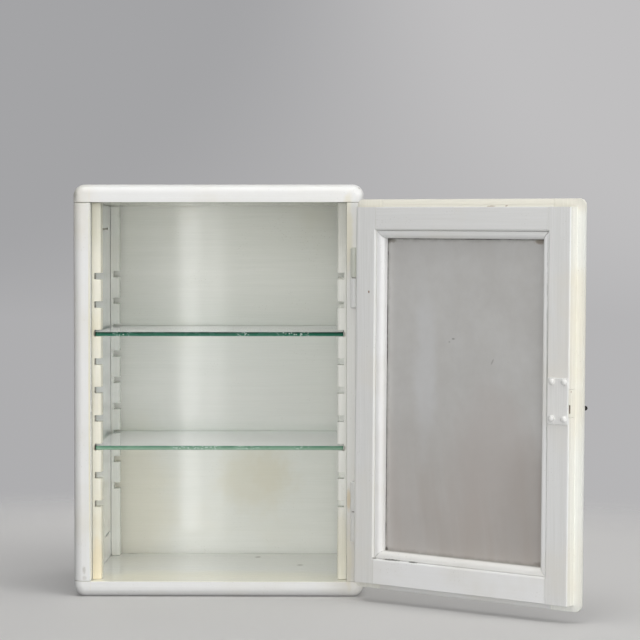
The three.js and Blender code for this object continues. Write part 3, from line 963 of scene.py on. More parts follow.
@dataclass(frozen=True)
class Clouded:
    """Plain steel or moulded black, clouded with age or dust."""

    name: str
    colour: Tint
    dull: Tint
    metal: float = 0.9
    clouds: Clouds = (90.0, 0.4, 0.7)
    gloss: Limits = (0.32, 0.6)

    def build(self, effects: Effects) -> Material:
        """Make the material.

        Args:
            effects: Shared node groups.

        Returns:
            The material.
        """
        material, sheet, shader, _ = new_material(self.name)
        cloud = effects.clouds(sheet, sheet.object_place(), self.clouds)
        sheet.fill(shader, {
            "Base Color": sheet.mix(cloud, self.colour, self.dull),
            "Roughness": sheet.between(cloud, self.gloss),
            "Metallic": self.metal})
        return material


Finish = Union[Enamel, ClearGlass, GreenEdge, CloudedPane, Clouded]


class Bench:
    """Selection and shaping steps that the pieces share."""

    @staticmethod
    def hold(piece: Piece) -> None:
        """Select one piece alone and make it active.

        Args:
            piece: Piece to select.
        """
        if bpy.context.mode != "OBJECT":
            bpy.ops.object.mode_set(mode="OBJECT")
        bpy.ops.object.select_all(action="DESELECT")
        piece.select_set(True)
        bpy.context.view_layer.objects.active = piece

    @staticmethod
    def fix_place(piece: Piece) -> None:
        """Put a piece's place, turn and size into its mesh."""
        Bench.hold(piece)
        bpy.ops.object.transform_apply(location=True, rotation=True, scale=True)

    @staticmethod
    def pick_faces(piece: Piece, test: FaceTest) -> None:
        """Select the faces that pass a test, and go into edit mode.

        Args:
            piece: Piece to work on.
            test: Test of a face's centre and normal.
        """
        Bench.hold(piece)
        bpy.context.tool_settings.mesh_select_mode = (False, False, True)
        mesh = piece.data
        mesh.vertices.foreach_set("select", [False] * len(mesh.vertices))
        mesh.edges.foreach_set("select", [False] * len(mesh.edges))
        mesh.polygons.foreach_set(
            "select", [test(face.center, face.normal) for face in mesh.polygons])
        bpy.ops.object.mode_set(mode="EDIT")

    @staticmethod
    def weigh_edges(piece: Piece, angle: float, share: EdgeShare) -> None:
        """Mark each sharp edge with its share of the rounding.

        Args:
            piece: Piece to mark.
            angle: Least angle of a sharp edge, in degrees.
            share: Share of the full width for the middle of an edge.
        """
        Bench.hold(piece)
        bpy.context.tool_settings.mesh_select_mode = (False, True, False)
        bpy.ops.object.mode_set(mode="EDIT")
        bpy.ops.mesh.select_all(action="DESELECT")
        bpy.ops.mesh.edges_select_sharp(sharpness=math.radians(angle))
        bpy.ops.object.mode_set(mode="OBJECT")
        mesh = piece.data
        weights = mesh.attributes.new("bevel_weight_edge", "FLOAT", "EDGE")
        for edge in mesh.edges:
            if edge.select:
                ends = [mesh.vertices[corner].co for corner in edge.vertices]
                weights.data[edge.index].value = share((ends[0] + ends[1]) / 2.0)

    @staticmethod
    def bevel(piece: Piece, width: float, segments: int, angle: float = SHARP_ANGLE,
              share: EdgeShare | None = None) -> None:
        """Round the sharp edges of a piece and shade it.

        Args:
            piece: Piece to round.
            width: Width of the rounding in metres.
            segments: Steps of the rounding.
            angle: Least angle of an edge that is rounded, in degrees.
            share: Share of the width that an edge gets, or None for all of it.
        """
        Bench.weigh_edges(piece, angle, share or (lambda _: 1.0))
        change = piece.modifiers.new("round", "BEVEL")
        change.width = width
        change.segments = segments
        change.limit_method = "WEIGHT"
        bpy.ops.object.modifier_apply(modifier=change.name)
        bpy.ops.object.shade_smooth_by_angle(angle=math.radians(SMOOTH_ANGLE))
        flat = piece.modifiers.new("flat", "WEIGHTED_NORMAL")
        flat.keep_sharp = True
        bpy.ops.object.modifier_apply(modifier=flat.name)

    @staticmethod
    def soften(node: str, width: float, segments: int = 2,
               share: EdgeShare | None = None) -> Piece:
        """Make a copy of a node with eased edges, which stands for the node.

        Args:
            node: Name of the node.
            width: Width of the eased edge in metres.
            segments: Steps of the eased edge.
            share: Share of the width that an edge gets, or None for all of it.

        Returns:
            The copy.
        """
        piece = bpy.data.objects.new(node + "_eased", frame["nodes"][node].data.copy())
        bpy.context.scene.collection.objects.link(piece)
        Bench.hold(piece)
        bpy.ops.mesh.customdata_custom_splitnormals_clear()
        bpy.ops.object.mode_set(mode="EDIT")
        bpy.ops.mesh.select_all(action="SELECT")
        bpy.ops.mesh.remove_doubles(threshold=WELD)
        bpy.ops.mesh.dissolve_limited(angle_limit=math.radians(FLAT_ANGLE))
        bpy.ops.object.mode_set(mode="OBJECT")
        Bench.bevel(piece, width, segments, share=share)
        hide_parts(node)
        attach(piece, frame["nodes"][node]["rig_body"])
        return piece

    @staticmethod
    def cylinder(name: str, sides: int, radius: float, height: float, level: float) -> Piece:
        """Model a cylinder about z.

        Args:
            name: Name of the piece.
            sides: Number of sides.
            radius: Radius in metres.
            height: Height in metres.
            level: Height of its middle over the origin.

        Returns:
            The cylinder.
        """
        bpy.ops.object.select_all(action="DESELECT")
        bpy.ops.mesh.primitive_cylinder_add(
            vertices=sides, radius=radius, depth=height, location=(0.0, 0.0, level))
        piece = bpy.context.active_object
        piece.name = name
        Bench.fix_place(piece)
        return piece

    @staticmethod
    def settle(piece: Piece, place: Matrix, body: str) -> None:
        """Put a new piece in its place, with the place in its mesh.

        Args:
            piece: Piece that was modelled at the origin.
            place: Place and turn of the piece.
            body: Body that carries it.
        """
        piece.matrix_world = place
        Bench.fix_place(piece)
        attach(piece, body)

    @staticmethod
    def dress(piece: Piece, slot: str, finishes: Sequence[Material],
              zone: FaceZone | None = None) -> None:
        """Give a piece its finishes.

        Args:
            piece: Piece to dress.
            slot: Material slot of the record; not used.
            finishes: Materials, in the order of their numbers.
            zone: Number of the finish for a face's centre and normal, or None for one finish.
        """
        piece.data.materials.clear()
        for finish in finishes:
            piece.data.materials.append(finish)
        for face in piece.data.polygons:
            face.material_index = zone(face.center, face.normal) if zone else 0


@dataclass
class Case:
    """Boards, back panel and shelf ladders of the case."""

    inner_x: float = 0.179
    inner_top: float = 0.551
    inner_floor: float = 0.0215
    wall_near: float = 0.0004
    wall_facing: float = 0.1
    board_near: float = 0.0006
    board_facing: float = 0.5
    notch_end: float = 0.1750
    notch_near: float = 0.001
    notch_facing: float = 0.7
    board_eased: float = 0.0012
    back_eased: float = 0.0006
    ladder_eased: float = 0.0007
    nail_root: Point = (-0.1795, 0.012, 0.5154)
    nail_sides: int = 16
    nail_radius: float = 0.0011
    nail_head_to_shank: float = 2.1
    nail_length: float = 0.008
    nail_eased: float = 0.0002
    pieces: dict[str, Piece] = field(default_factory=dict)
    nail: Piece | None = None

    def build(self) -> None:
        """Ease the edges of all boards and ladders, and drive the nail into the left wall."""
        for node in BOARD_PAINTS:
            self.pieces[node] = Bench.soften(node, self.board_eased)
        self.pieces["back_panel"] = Bench.soften("back_panel", self.back_eased)
        for node in LADDERS:
            self.pieces[node] = Bench.soften(node, self.ladder_eased)
        self.nail = self.model_nail()

    def model_nail(self) -> Piece:
        """Model a small nail that stands out of the left wall.

        Returns:
            The nail in its place.
        """
        head = self.nail_radius * self.nail_head_to_shank
        nail = Bench.cylinder(
            "wall_nail", self.nail_sides, head, self.nail_radius, self.nail_length)
        Bench.pick_faces(nail, lambda _, normal: normal.z < -FACING)
        bpy.ops.mesh.inset(thickness=head - self.nail_radius)
        bpy.ops.mesh.extrude_region_move(
            TRANSFORM_OT_translate={"value": (0.0, 0.0, -self.nail_length)})
        bpy.ops.object.mode_set(mode="OBJECT")
        Bench.bevel(nail, self.nail_eased, 2)
        out_of_wall = Matrix.Rotation(math.pi / 2.0, 4, "Y")
        Bench.settle(nail, Matrix.Translation(self.nail_root) @ out_of_wall, "cabinet")
        return nail

    def is_inside(self, centre: Vector, normal: Vector) -> int:
        """Tell a face of the inside from one of the outside.

        Args:
            centre: Centre of the face.
            normal: Normal of the face.

        Returns:
            1 for the inside, 0 for the outside.
        """
        wall = (abs(centre.x) < self.inner_x + self.wall_near
                and normal.x * centre.x < -self.wall_facing)
        top = (abs(centre.z - self.inner_top) < self.board_near
               and normal.z < -self.board_facing)
        floor = (abs(centre.z - self.inner_floor) < self.board_near
                 and normal.z > self.board_facing)
        return int(wall or top or floor)

    def is_notch_end(self, centre: Vector, normal: Vector) -> int:
        """Tell the deep end of a ladder's notch, as 1, from its other faces, as 0."""
        deep = self.notch_end - self.notch_near < abs(centre.x) < self.notch_end + self.notch_near
        return int(deep and abs(normal.x) > self.notch_facing)

    def dress(self, paints: dict[str, Material]) -> None:
        """Paint the case.

        Args:
            paints: Materials by name.
        """
        for node, paint in BOARD_PAINTS.items():
            sides = (paints[paint], paints["inside_" + node])
            Bench.dress(self.pieces[node], "enamel", sides, self.is_inside)
        Bench.dress(self.pieces["back_panel"], "enamel", (paints["inside_back"],))
        for node in LADDERS:
            paint = paints[node if node.startswith("front") else "rear_ladder"]
            # Only the front left ladder's notch ends take the dark paint of painted shade
            end = paints["notch_end"] if node == "front_left_ladder" else paint
            Bench.dress(self.pieces[node], "aged_cream", (paint, end), self.is_notch_end)
        Bench.dress(self.nail, "bare_steel", (paints["plain_steel"],))


@dataclass
class Shelves:
    """The two loose glass shelves."""

    eased: float = 0.0004
    pieces: dict[str, Piece] = field(default_factory=dict)

    def build(self) -> None:
        """Ease the arrises of the glass."""
        for node in SHELVES:
            self.pieces[node] = Bench.soften(node, self.eased, 1)

    def is_edge(self, _: Vector, normal: Vector) -> int:
        """Tell an edge of the glass, as 1, from its upper and lower face, as 0."""
        return int(abs(normal.z) < FACING)

    def dress(self, paints: dict[str, Material]) -> None:
        """Give the glass its clear faces and its green edges.

        Args:
            paints: Materials by name.
        """
        for node, piece in self.pieces.items():
            sides = (paints["shelf_glass_clear"], paints[node + "_edge"])
            Bench.dress(piece, "shelf_glass", sides, self.is_edge)


@dataclass
class Door:
    """Door frame, beads and pane."""

    place: DoorPlace = field(default_factory=DoorPlace)
    lip_back: float = -0.0006
    lip_depth: float = 0.004
    lip_facing: float = -0.6
    inner_depth: float = 0.003
    inner_facing: float = 0.25
    pane_play: float = 0.002
    top_edge: float = 0.5437
    cove: float = 0.0035
    cove_facing: float = 0.2
    side_cove: float = 0.0018
    eased: float = 0.001
    bead_eased: float = 0.0005
    pane_eased: float = 0.0003
    joint: float = 0.0001
    near: float = 0.0004
    hidden_y: Limits = (-0.0032, -0.0020)
    pieces: dict[str, Piece] = field(default_factory=dict)

    def __post_init__(self) -> None:
        """Read the planes of the frame from its nodes."""
        face_low, face_high = self.place.span("lock_faceplate")
        self.free_edge = face_low.x
        self.inner_plane = face_high.y
        pane_low, pane_high = self.place.span("door_pane")
        self.rebate_z = (pane_low.z - self.pane_play, pane_high.z + self.pane_play)
        sight_low, sight_high = self.place.sight()
        self.joints_x = (
            pane_low.x - self.pane_play, pane_high.x + self.pane_play, sight_low.x, sight_high.x)

    def rounding(self, middle: Vector) -> float:
        """Share out the cove's width: most by the lip, hardly any at a joint, none in the rebate.

        Args:
            middle: Middle of an edge at rest.

        Returns:
            The share of the edge.
        """
        spot = self.place.drawn(middle)
        if self.hidden_y[0] < spot.y < self.hidden_y[1]:
            return 0.0
        if abs(spot.y - self.lip_back) < self.near:
            if abs(spot.z - self.top_edge) < self.near:
                return 1.0
            if abs(spot.x - self.free_edge) < self.near:
                return self.side_cove / self.cove
        beyond = not self.rebate_z[0] + self.near < spot.z < self.rebate_z[1] - self.near
        if beyond and min(abs(spot.x - plane) for plane in self.joints_x) < self.near:
            return self.joint / self.cove
        return self.eased / self.cove

    def build(self) -> None:
        """Ease the edges of the frame and the beads."""
        for node in FRAME_PAINTS:
            self.pieces[node] = Bench.soften(node, self.cove, 3, self.rounding)
        for node in BEAD_PAINTS:
            self.pieces[node] = Bench.soften(node, self.bead_eased)
        self.pieces["door_pane"] = Bench.soften("door_pane", self.pane_eased, 1)

    def zone(self, centre: Vector, normal: Vector) -> DoorFace:
        """Tell the faces of the frame apart.

        Args:
            centre: Centre of a face at rest.
            normal: Normal of the face at rest.

        Returns:
            The face of the frame that it belongs to.
        """
        back = self.place.matrix().inverted()
        there = back @ centre
        way = back.to_3x3() @ normal
        by_cove = max(abs(there.x - self.free_edge), abs(there.y - self.lip_back)) < self.cove
        slanted = way.x < -self.cove_facing and way.y > self.cove_facing
        if by_cove and slanted and there.z < self.top_edge:
            return DoorFace.COVE
        if there.y > self.inner_plane - self.inner_depth and way.y > self.inner_facing:
            return DoorFace.INNER
        if there.y > self.lip_back - self.lip_depth and way.y > self.lip_facing:
            behind_lip = there.y > self.lip_back + self.near
            below_top = there.z < self.top_edge - self.near
            return DoorFace.STEP if behind_lip and below_top else DoorFace.LIP
        return DoorFace.FRONT

    def dress(self, paints: dict[str, Material]) -> None:
        """Paint the door.

        Args:
            paints: Materials by name.
        """
        for node, names in FRAME_PAINTS.items():
            faces = [paints[name] for name in names]
            Bench.dress(self.pieces[node], "enamel", faces, self.zone)
        for node, name in BEAD_PAINTS.items():
            Bench.dress(self.pieces[node], "enamel", (paints[name],))
        Bench.dress(self.pieces["door_pane"], "hazy_glass", (paints["clouded_pane"],))


@dataclass
class Ironwork:
    """Hinges, lock, strike and knob, with the screws that hold the lock."""

    place: DoorPlace = field(default_factory=DoorPlace)
    hinge_eased: float = 0.0005
    plate_eased: float = 0.0013
    plate_front: float = 0.7
    plate_hidden: float = 0.04
    thin_eased: float = 0.0002
    steel_eased: float = 0.0003
    knob_eased: float = 0.0008
    screw_columns: Limits = (-0.0104, 0.0084)
    screw_rows: Limits = (0.0252, -0.0228)
    screw_sides: int = 24
    screw_sink: float = 0.0003
    screw_radius: float = 0.0040
    screw_height: float = 0.0026
    # Inset and rise of each step of the dome, as shares of the screw's radius and height
    screw_dome: tuple[Limits, Limits] = ((0.32, 0.45), (0.34, 0.22))
    screw_eased: float = 0.0003
    screw_sharp: float = 25.0
    screw_turn: float = 40.0
    screw_turn_step: float = 9.0
    slot_width: float = 0.001
    # Length of the slot's cutter as a share of the screw's radius, the others of its height
    slot_length: float = 2.4
    slot_level: float = 1.75
    slot_height: float = 0.7
    painted: dict[str, Piece] = field(default_factory=dict)
    bare: dict[str, Piece] = field(default_factory=dict)
    knob: Piece | None = None
    screws: list[Piece] = field(default_factory=list)

    def build(self) -> None:
        """Ease the edges of the metal pieces and set the screws."""
        for node in HINGE_HALVES:
            self.painted[node] = Bench.soften(node, self.hinge_eased)
        self.painted["lock_plate"] = Bench.soften(
            "lock_plate", self.plate_eased, 4, self.plate_rounding)
        for node in THIN_PLATES:
            self.painted[node] = Bench.soften(node, self.thin_eased)
        for node in STEEL_WORKS:
            self.bare[node] = Bench.soften(node, self.steel_eased, 1)
        self.knob = Bench.soften("turn_knob", self.knob_eased, 3)
        self.set_screws()

    def plate_rounding(self, middle: Vector) -> float:
        """Share out the rounding of the lock plate: all on its face, hardly any at the wood.

        Args:
            middle: Middle of an edge at rest.

        Returns:
            The share of the edge.
        """
        low, high = self.place.span("lock_plate")
        front = low.y + (high.y - low.y) * self.plate_front
        return 1.0 if self.place.drawn(middle).y > front else self.plate_hidden

    def model_screw(self) -> Piece:
        """Model one domed screw head with a paint-filled slot, standing on z 0.

        Returns:
            The screw at the origin.
        """
        screw = Bench.cylinder(
            "lock_screw_1", self.screw_sides, self.screw_radius, self.screw_height,
            self.screw_height / 2.0)
        Bench.pick_faces(screw, lambda _, normal: normal.z > FACING)
        for inset, rise in self.screw_dome:
            bpy.ops.mesh.inset(
                thickness=self.screw_radius * inset, depth=self.screw_height * rise)
        bpy.ops.object.mode_set(mode="OBJECT")
        cutter = self.model_slot()
        Bench.hold(screw)
        cut = screw.modifiers.new("slot", "BOOLEAN")
        cut.operation = "DIFFERENCE"
        cut.object = cutter
        bpy.ops.object.modifier_apply(modifier=cut.name)
        bpy.data.objects.remove(cutter)
        Bench.bevel(screw, self.screw_eased, 2, self.screw_sharp)
        return screw

    def model_slot(self) -> Piece:
        """Model the shallow bar that cuts a screw's slot.

        Returns:
            The bar.
        """
        bpy.ops.object.select_all(action="DESELECT")
        bpy.ops.mesh.primitive_cube_add(
            size=1.0, location=(0.0, 0.0, self.screw_height * self.slot_level))
        bar = bpy.context.active_object
        bar.scale = (
            self.screw_radius * self.slot_length, self.slot_width,
            self.screw_height * self.slot_height)
        Bench.fix_place(bar)
        return bar

    def set_screws(self) -> None:
        """Set a screw in each corner of the lock plate, each with its slot turned its own way."""
        upright = Matrix(((1, 0, 0, 0), (0, 0, 1, 0), (0, -1, 0, 0), (0, 0, 0, 1)))
        low, high = self.place.span("lock_plate")
        middle = (low + high) / 2.0
        first = self.model_screw()
        spots = [(column, row) for row in self.screw_rows for column in self.screw_columns]
        for number, (column, row) in enumerate(spots, start=1):
            screw = first
            if number < len(spots):
                screw = first.copy()
                screw.data = first.data.copy()
                bpy.context.scene.collection.objects.link(screw)
            screw.name = f"lock_screw_{len(spots) - number + 1}"
            spot = Matrix.Translation(
                (middle.x + column, high.y - self.screw_sink, middle.z + row))
            turn = math.radians(self.screw_turn + self.screw_turn_step * number)
            spin = Matrix.Rotation(turn, 4, "Z")
            Bench.settle(screw, self.place.matrix() @ spot @ upright @ spin, "door")
            self.screws.append(screw)

    def dress(self, paints: dict[str, Material]) -> None:
        """Finish the metal.

        Args:
            paints: Materials by name.
        """
        for node, piece in self.painted.items():
            paint = paints[FITTING_PAINTS.get(node, "hardware")]
            Bench.dress(piece, "painted_steel", (paint,))
        for screw in self.screws:
            Bench.dress(screw, "painted_steel", (paints["hardware"],))
        for node, piece in self.bare.items():
            paint = paints[FITTING_PAINTS.get(node, "plain_steel")]
            Bench.dress(piece, "bare_steel", (paint,))
        Bench.dress(self.knob, "black_knob", (paints["black_knob"],))


@dataclass(frozen=True)
class Lamp:
    """One soft light of the studio."""

    name: str
    spot: Point
    aim: Point
    size: Limits
    power: float
    mirrored: bool = True

    def build(self) -> None:
        """Hang the light, seen in glossy paint or not."""
        data = bpy.data.lights.new(self.name, "AREA")
        data.shape = "RECTANGLE"
        data.size, data.size_y = self.size
        data.energy = self.power
        lamp = bpy.data.objects.new(self.name, data)
        bpy.context.scene.collection.objects.link(lamp)
        lamp.location = self.spot
        way = Vector(self.aim) - Vector(self.spot)
        lamp.rotation_euler = way.to_track_quat("-Z", "Y").to_euler()
        lamp.visible_camera = False
        lamp.visible_glossy = self.mirrored


@dataclass
class Studio:
    """Floor, soft lights, surroundings and camera."""

    floor_sides: int = 96
    floor_radius: float = 1.5
    floor_level: float = -0.0004
    floor_fade: Limits = (0.98, 0.5)
    floor_tone: Tint = srgb(226, 225, 223)
    floor_dull: float = 0.65
    world_left: Tint = srgb(164, 164, 166)
    world_right: Tint = srgb(192, 191, 192)
    world_turn: Limits = (-0.2, 0.2)
    world_spread: float = 25.0
    world_least: float = 0.3
    ambient: float = 0.37
    lens: float = 135.489
    sensor: float = 36.0
    eye: Point = (0.18757, -3.51214, 0.48549)
    tilt: Point = (math.pi / 2.0 - 0.02929, 0.0, 0.01369)
    lamps: tuple[Lamp, ...] = (
        Lamp("key_side", (2.75, -1.75, 1.35), (0.15, -0.15, 0.3), (1.3, 1.6), 21.0),
        Lamp("key_right", (2.6, -3.2, 1.3), (0.1, 0.0, 0.3), (1.6, 2.0), 25.0),
        Lamp("front_left", (-1.4, -4.4, 1.0), (0.0, 0.0, 0.3), (1.6, 2.2), 47.0, mirrored=False),
        Lamp("front_low", (0.1, -4.2, 0.15), (0.0, 0.0, 0.3), (2.4, 0.7), 7.5, mirrored=False),
        Lamp("near_low", (0.5, -2.2, 0.05), (0.2, -0.2, 0.15), (1.6, 0.3), 9.0, mirrored=False),
        Lamp("top_soft", (0.1, -1.3, 2.7), (0.1, -0.1, 0.3), (2.0, 1.6), 14.0),
        Lamp("top_over", (0.1, -0.45, 2.9), (0.1, -0.1, 0.3), (2.0, 1.2), 15.0),
        Lamp("strip_left", (-0.302, -3.35, 0.2), (-0.06, 0.15, 0.2), (0.06, 2.2), 1.1),
        Lamp("strip_left_wide", (-0.262, -3.36, 0.2), (-0.04, 0.15, 0.2), (0.13, 2.2), 1.4),
        Lamp("floor_far", (0.1, 1.3, 1.5), (0.1, 1.0, 0.0), (3.4, 1.2), 14.0, mirrored=False),
    )

    def build(self) -> None:
        """Set up floor, lights, surroundings and camera."""
        self.lay_floor()
        self.surround()
        for lamp in self.lamps:
            lamp.build()
        self.set_camera()

    def lay_floor(self) -> None:
        """Lay a pale round floor that fades into the surroundings at its rim."""
        bpy.ops.object.select_all(action="DESELECT")
        bpy.ops.mesh.primitive_circle_add(
            vertices=self.floor_sides, radius=self.floor_radius, fill_type="NGON",
            location=(0.0, 0.0, self.floor_level))
        floor = bpy.context.active_object
        floor.name = "floor"
        floor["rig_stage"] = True
        material, sheet, shader, _ = new_material("pale_floor")
        rim, full = (self.floor_radius * share for share in self.floor_fade)
        sheet.fill(shader, {
            "Base Color": self.floor_tone,
            "Roughness": self.floor_dull,
            "Alpha": sheet.ramp(sheet.length(sheet.object_place()), rim, full)})
        floor.data.materials.append(material)
        floor.visible_diffuse = False
        floor.visible_glossy = False
        floor.visible_shadow = False

    def surround(self) -> None:
        """Fill the surroundings with grey, paler to the upper right, dimmer as a light than seen."""
        world = bpy.data.worlds.new("studio_grey")
        world.use_nodes = True
        sheet = NodeSheet(world.node_tree)
        way = sheet.add("ShaderNodeTexCoord").outputs["Generated"]
        rise = sheet.math("MULTIPLY", sheet.part(way, "Z"), self.world_spread)
        spread = sheet.math("MAXIMUM", sheet.math("ADD", rise, 1.0), self.world_least)
        across = sheet.math("MULTIPLY", sheet.part(way, "X"), spread)
        seen = sheet.add("ShaderNodeLightPath").outputs["Is Camera Ray"]
        sheet.fill(world.node_tree.nodes["Background"], {
            "Color": sheet.mix(
                sheet.ramp(across, *self.world_turn), self.world_left, self.world_right),
            "Strength": sheet.between(seen, (self.ambient, 1.0))})
        bpy.context.scene.world = world
        bpy.context.scene.view_settings.view_transform = "Standard"

    def set_camera(self) -> None:
        """Stand the camera where the picture was taken from."""
        data = bpy.data.cameras.new("camera")
        data.sensor_width = self.sensor
        data.lens = self.lens
        camera = bpy.data.objects.new("camera", data)
        bpy.context.scene.collection.objects.link(camera)
        camera.location = self.eye
        camera.rotation_euler = self.tilt
        bpy.context.scene.camera = camera


# Paints that more than one finish has
CASE = Coats.of((241, 241, 239), (237, 237, 233), (234, 231, 221))
DOOR = Coats.of((239, 239, 237), (231, 231, 228), (236, 233, 225))
BEAD = Coats.of((251, 251, 250), (248, 248, 246), (243, 241, 235))
WALL = Coats.of((253, 253, 249), (249, 249, 242), (238, 236, 222))
LIP = Coats.of((246, 247, 241), (245, 245, 238), (244, 241, 228))

DIRT = srgb(122, 112, 92)
RUST = srgb(138, 98, 64)
# Colour of painted shade in cracks
GAP_SHADE = srgb(66, 62, 52)

INSIDE_AGE = (6.0, 0.55, 0.95)
NOTCH_AGE = (60.0, 0.4, 0.6)
INSIDE_GLOSS = (0.10, 0.16)
BACK_GLOSS = (0.03, 0.06)
LADDER_GLOSS = (0.22, 0.32)
EDGE_GLOSS = (0.2, 0.3)
COVE_GLOSS = (0.12, 0.2)
BEAD_GLOSS = (0.16, 0.26)
FOOT_GLOSS = (0.14, 0.22)
ALONG_DOOR = (0.0, 0.0, DOOR_LEAN)

# Marks, with the later ones lying over the earlier ones
CASE_MARKS = (
    Blemish((-0.1877, -0.1605, 0.0262), (0.0044, 0.004, 0.0044), srgb(206, 204, 196), 0.5, 0.4),
    Blemish((-0.1884, -0.1605, 0.0374), (0.003, 0.004, 0.007), srgb(170, 165, 150), 0.4, 1.6, 700.0),
    Blemish((0.1973, -0.1555, 0.5716), (0.003, 0.004, 0.003), DIRT, 0.6, 0.9, 500.0),
    Blemish((0.1815, -0.1605, 0.137), (0.0042, 0.006, 0.021), srgb(220, 204, 172), 0.75, 0.5, 200.0),
    Blemish((0.1815, -0.1605, 0.045), (0.0060, 0.008, 0.055), srgb(230, 224, 204), 0.6, 1.2, 90.0),
    Blemish((0.1800, -0.1605, 0.510), (0.010, 0.012, 0.070), srgb(232, 226, 203), 0.7, 0.8, 60.0),
    Blemish((-0.1796, -0.1600, 0.286), (0.003, 0.004, 0.330), srgb(238, 230, 200), 0.75, 0.4, 60.0),
    Blemish((-0.1998, -0.1555, 0.562), (0.004, 0.008, 0.010), srgb(150, 148, 138), 0.4, 1.8, 500.0),
    Blemish((-0.1920, -0.1605, 0.5505), (0.012, 0.005, 0.0012), srgb(150, 146, 122), 0.5, 0.8, 300.0),
)
LEFT_WALL_MARKS = (
    Blemish((-0.179, 0.020, 0.085), (0.004, 0.170, 0.090), srgb(252, 248, 234), 0.7, 0.7, 30.0),
    Blemish((-0.179, 0.070, 0.0603), (0.004, 0.048, 0.0034), srgb(66, 60, 50), 0.95, 0.4),
    Blemish((-0.179, 0.0208, 0.0783), (0.004, 0.006, 0.003), DIRT, 0.45, 0.8),
    Blemish((-0.179, 0.122, 0.022), (0.004, 0.009, 0.004), srgb(84, 74, 60), 0.8, 0.8),
)
FLOOR_STAINS_AND_LIGHT = (
    # Painted light: the front of the floor, which catches more light, is painted creamier
    Blemish((0.0, -0.15, 0.0215), (0.34, 0.14, 0.02), srgb(255, 251, 230), 0.85, 0.3, 30.0),
    Blemish((-0.1486, 0.150, 0.0215), (0.010, 0.012, 0.004), DIRT, 0.55, 1.0),
    Blemish((0.0444, 0.1094, 0.0215), (0.006, 0.014, 0.004), DIRT, 0.45, 1.0),
    Blemish((0.1098, 0.0181, 0.0215), (0.006, 0.014, 0.004), DIRT, 0.45, 1.0),
    Blemish((0.0, 0.153, 0.0215), (0.17, 0.005, 0.004), srgb(186, 178, 150), 0.3, 1.2, 40.0),
)
BACK_STAINS_AND_SHADE = (
    # Painted shade: a broad soft grey that makes the lower back panel darker than its upper part
    Blemish((0.03, 0.1528, 0.19), (0.18, 0.02, 0.30), srgb(222, 224, 219), 0.34, 0.3, 8.0),
    Blemish((0.0400, 0.1528, 0.1380), (0.082, 0.010, 0.072), srgb(222, 215, 190), 0.38, 0.9, 26.0),
    Blemish((0.0600, 0.1528, 0.1450), (0.040, 0.010, 0.040), srgb(218, 209, 182), 0.16, 1.4, 60.0),
    Blemish((-0.155, 0.1528, 0.100), (0.095, 0.010, 0.170), srgb(240, 234, 212), 0.42, 0.5, 20.0),
)
LADDER_STAINS_AND_SHADE = (
    *(Blemish((across, -0.1375, level), (0.0035, 0.012, 0.0055), DIRT, 0.7, 0.9)
      for across in (-0.1745, 0.1745) for level in (LOWER_SHELF, UPPER_SHELF)),
    Blemish((-0.172, -0.1385, 0.040), (0.012, 0.020, 0.060), srgb(238, 224, 190), 0.7, 0.6, 60.0),
    Blemish((0.172, -0.1385, 0.070), (0.012, 0.020, 0.075), srgb(236, 231, 209), 0.5, 0.6, 60.0),
    # Painted shadow of the top board on the tops of the front ladders
    Blemish((-0.172, -0.1385, 0.555), (0.020, 0.030, 0.100), srgb(206, 206, 192), 0.55, 0.5, 60.0),
    Blemish((0.172, -0.1385, 0.550), (0.020, 0.030, 0.110), srgb(206, 206, 194), 0.55, 0.5, 60.0),
    Blemish((0.1655, -0.1605, 0.0835), (0.0014, 0.004, 0.0018), srgb(110, 92, 66), 0.7, 0.6, 500.0),
)
# Painted shade, darkest in the upper notches of the front left ladder
NOTCH_SHADE = (
    Blemish((-0.175, -0.1385, 0.428), (0.010, 0.060, 0.080), srgb(74, 70, 60), 0.8, 0.3),
)
# Painted shade in the open crack under the bottom bead, as place across, half length, raggedness and
# grain of each piece
BEAD_GAP_SHADE = (
    (0.1378, 0.0046, 0.6, 300.0),
    (0.1090, 0.0230, 1.1, 260.0),
    (0.0726, 0.0105, 0.8, 300.0),
)
INNER_STAINS_AND_SHADE = (
    *(Blemish(on_door(across, 0.0134, 0.0616), (half, 0.004, 0.0013), GAP_SHADE, 0.85, ragged, grain,
              ALONG_DOOR)
      for across, half, ragged, grain in BEAD_GAP_SHADE),
    # Painted shade in the crease between the lock-side bead and its stile
    Blemish(on_door(-0.1403, 0.0132, 0.2868), (0.0010, 0.004, 0.3600), srgb(118, 118, 110), 0.6, 0.8,
            60.0, ALONG_DOOR),
    Blemish((0.2093, -0.2072, 0.4274), (0.0018, 0.0018, 0.0024), RUST, 0.9, 0.6, 500.0),
    Blemish((0.2326, -0.2208, 0.5124), (0.0016, 0.0016, 0.0016), DIRT, 0.9, 0.5, 500.0),
)
STEP_MARKS = (
    Blemish((0.469, -0.3998, 0.040), (0.0012, 0.0012, 0.0085), srgb(96, 84, 66), 0.8, 0.6, 500.0),
    Blemish((0.4715, -0.3991, 0.0217), (0.0025, 0.0025, 0.003), srgb(120, 104, 80), 0.7, 0.9, 500.0),
    Blemish((0.4691, -0.3997, 0.3014), (0.0016, 0.0016, 0.002), RUST, 0.8, 0.7, 500.0),
    Blemish((0.4679, -0.4014, 0.2749), (0.0014, 0.0014, 0.0018), RUST, 0.8, 0.7, 500.0),
    Blemish((0.3718, -0.3118, 0.5424), (0.010, 0.008, 0.0016), RUST, 0.45, 1.2, 260.0),
    Blemish((0.3908, -0.3264, 0.5428), (0.003, 0.003, 0.0016), RUST, 0.6, 0.9, 400.0),
)
LIP_MARKS = (
    Blemish(on_door(0.0, -0.001, 0.5492), (0.70, 0.05, 0.022), srgb(246, 243, 231), 0.9, 0.3, 40.0,
            ALONG_DOOR),
    *STEP_MARKS,
)

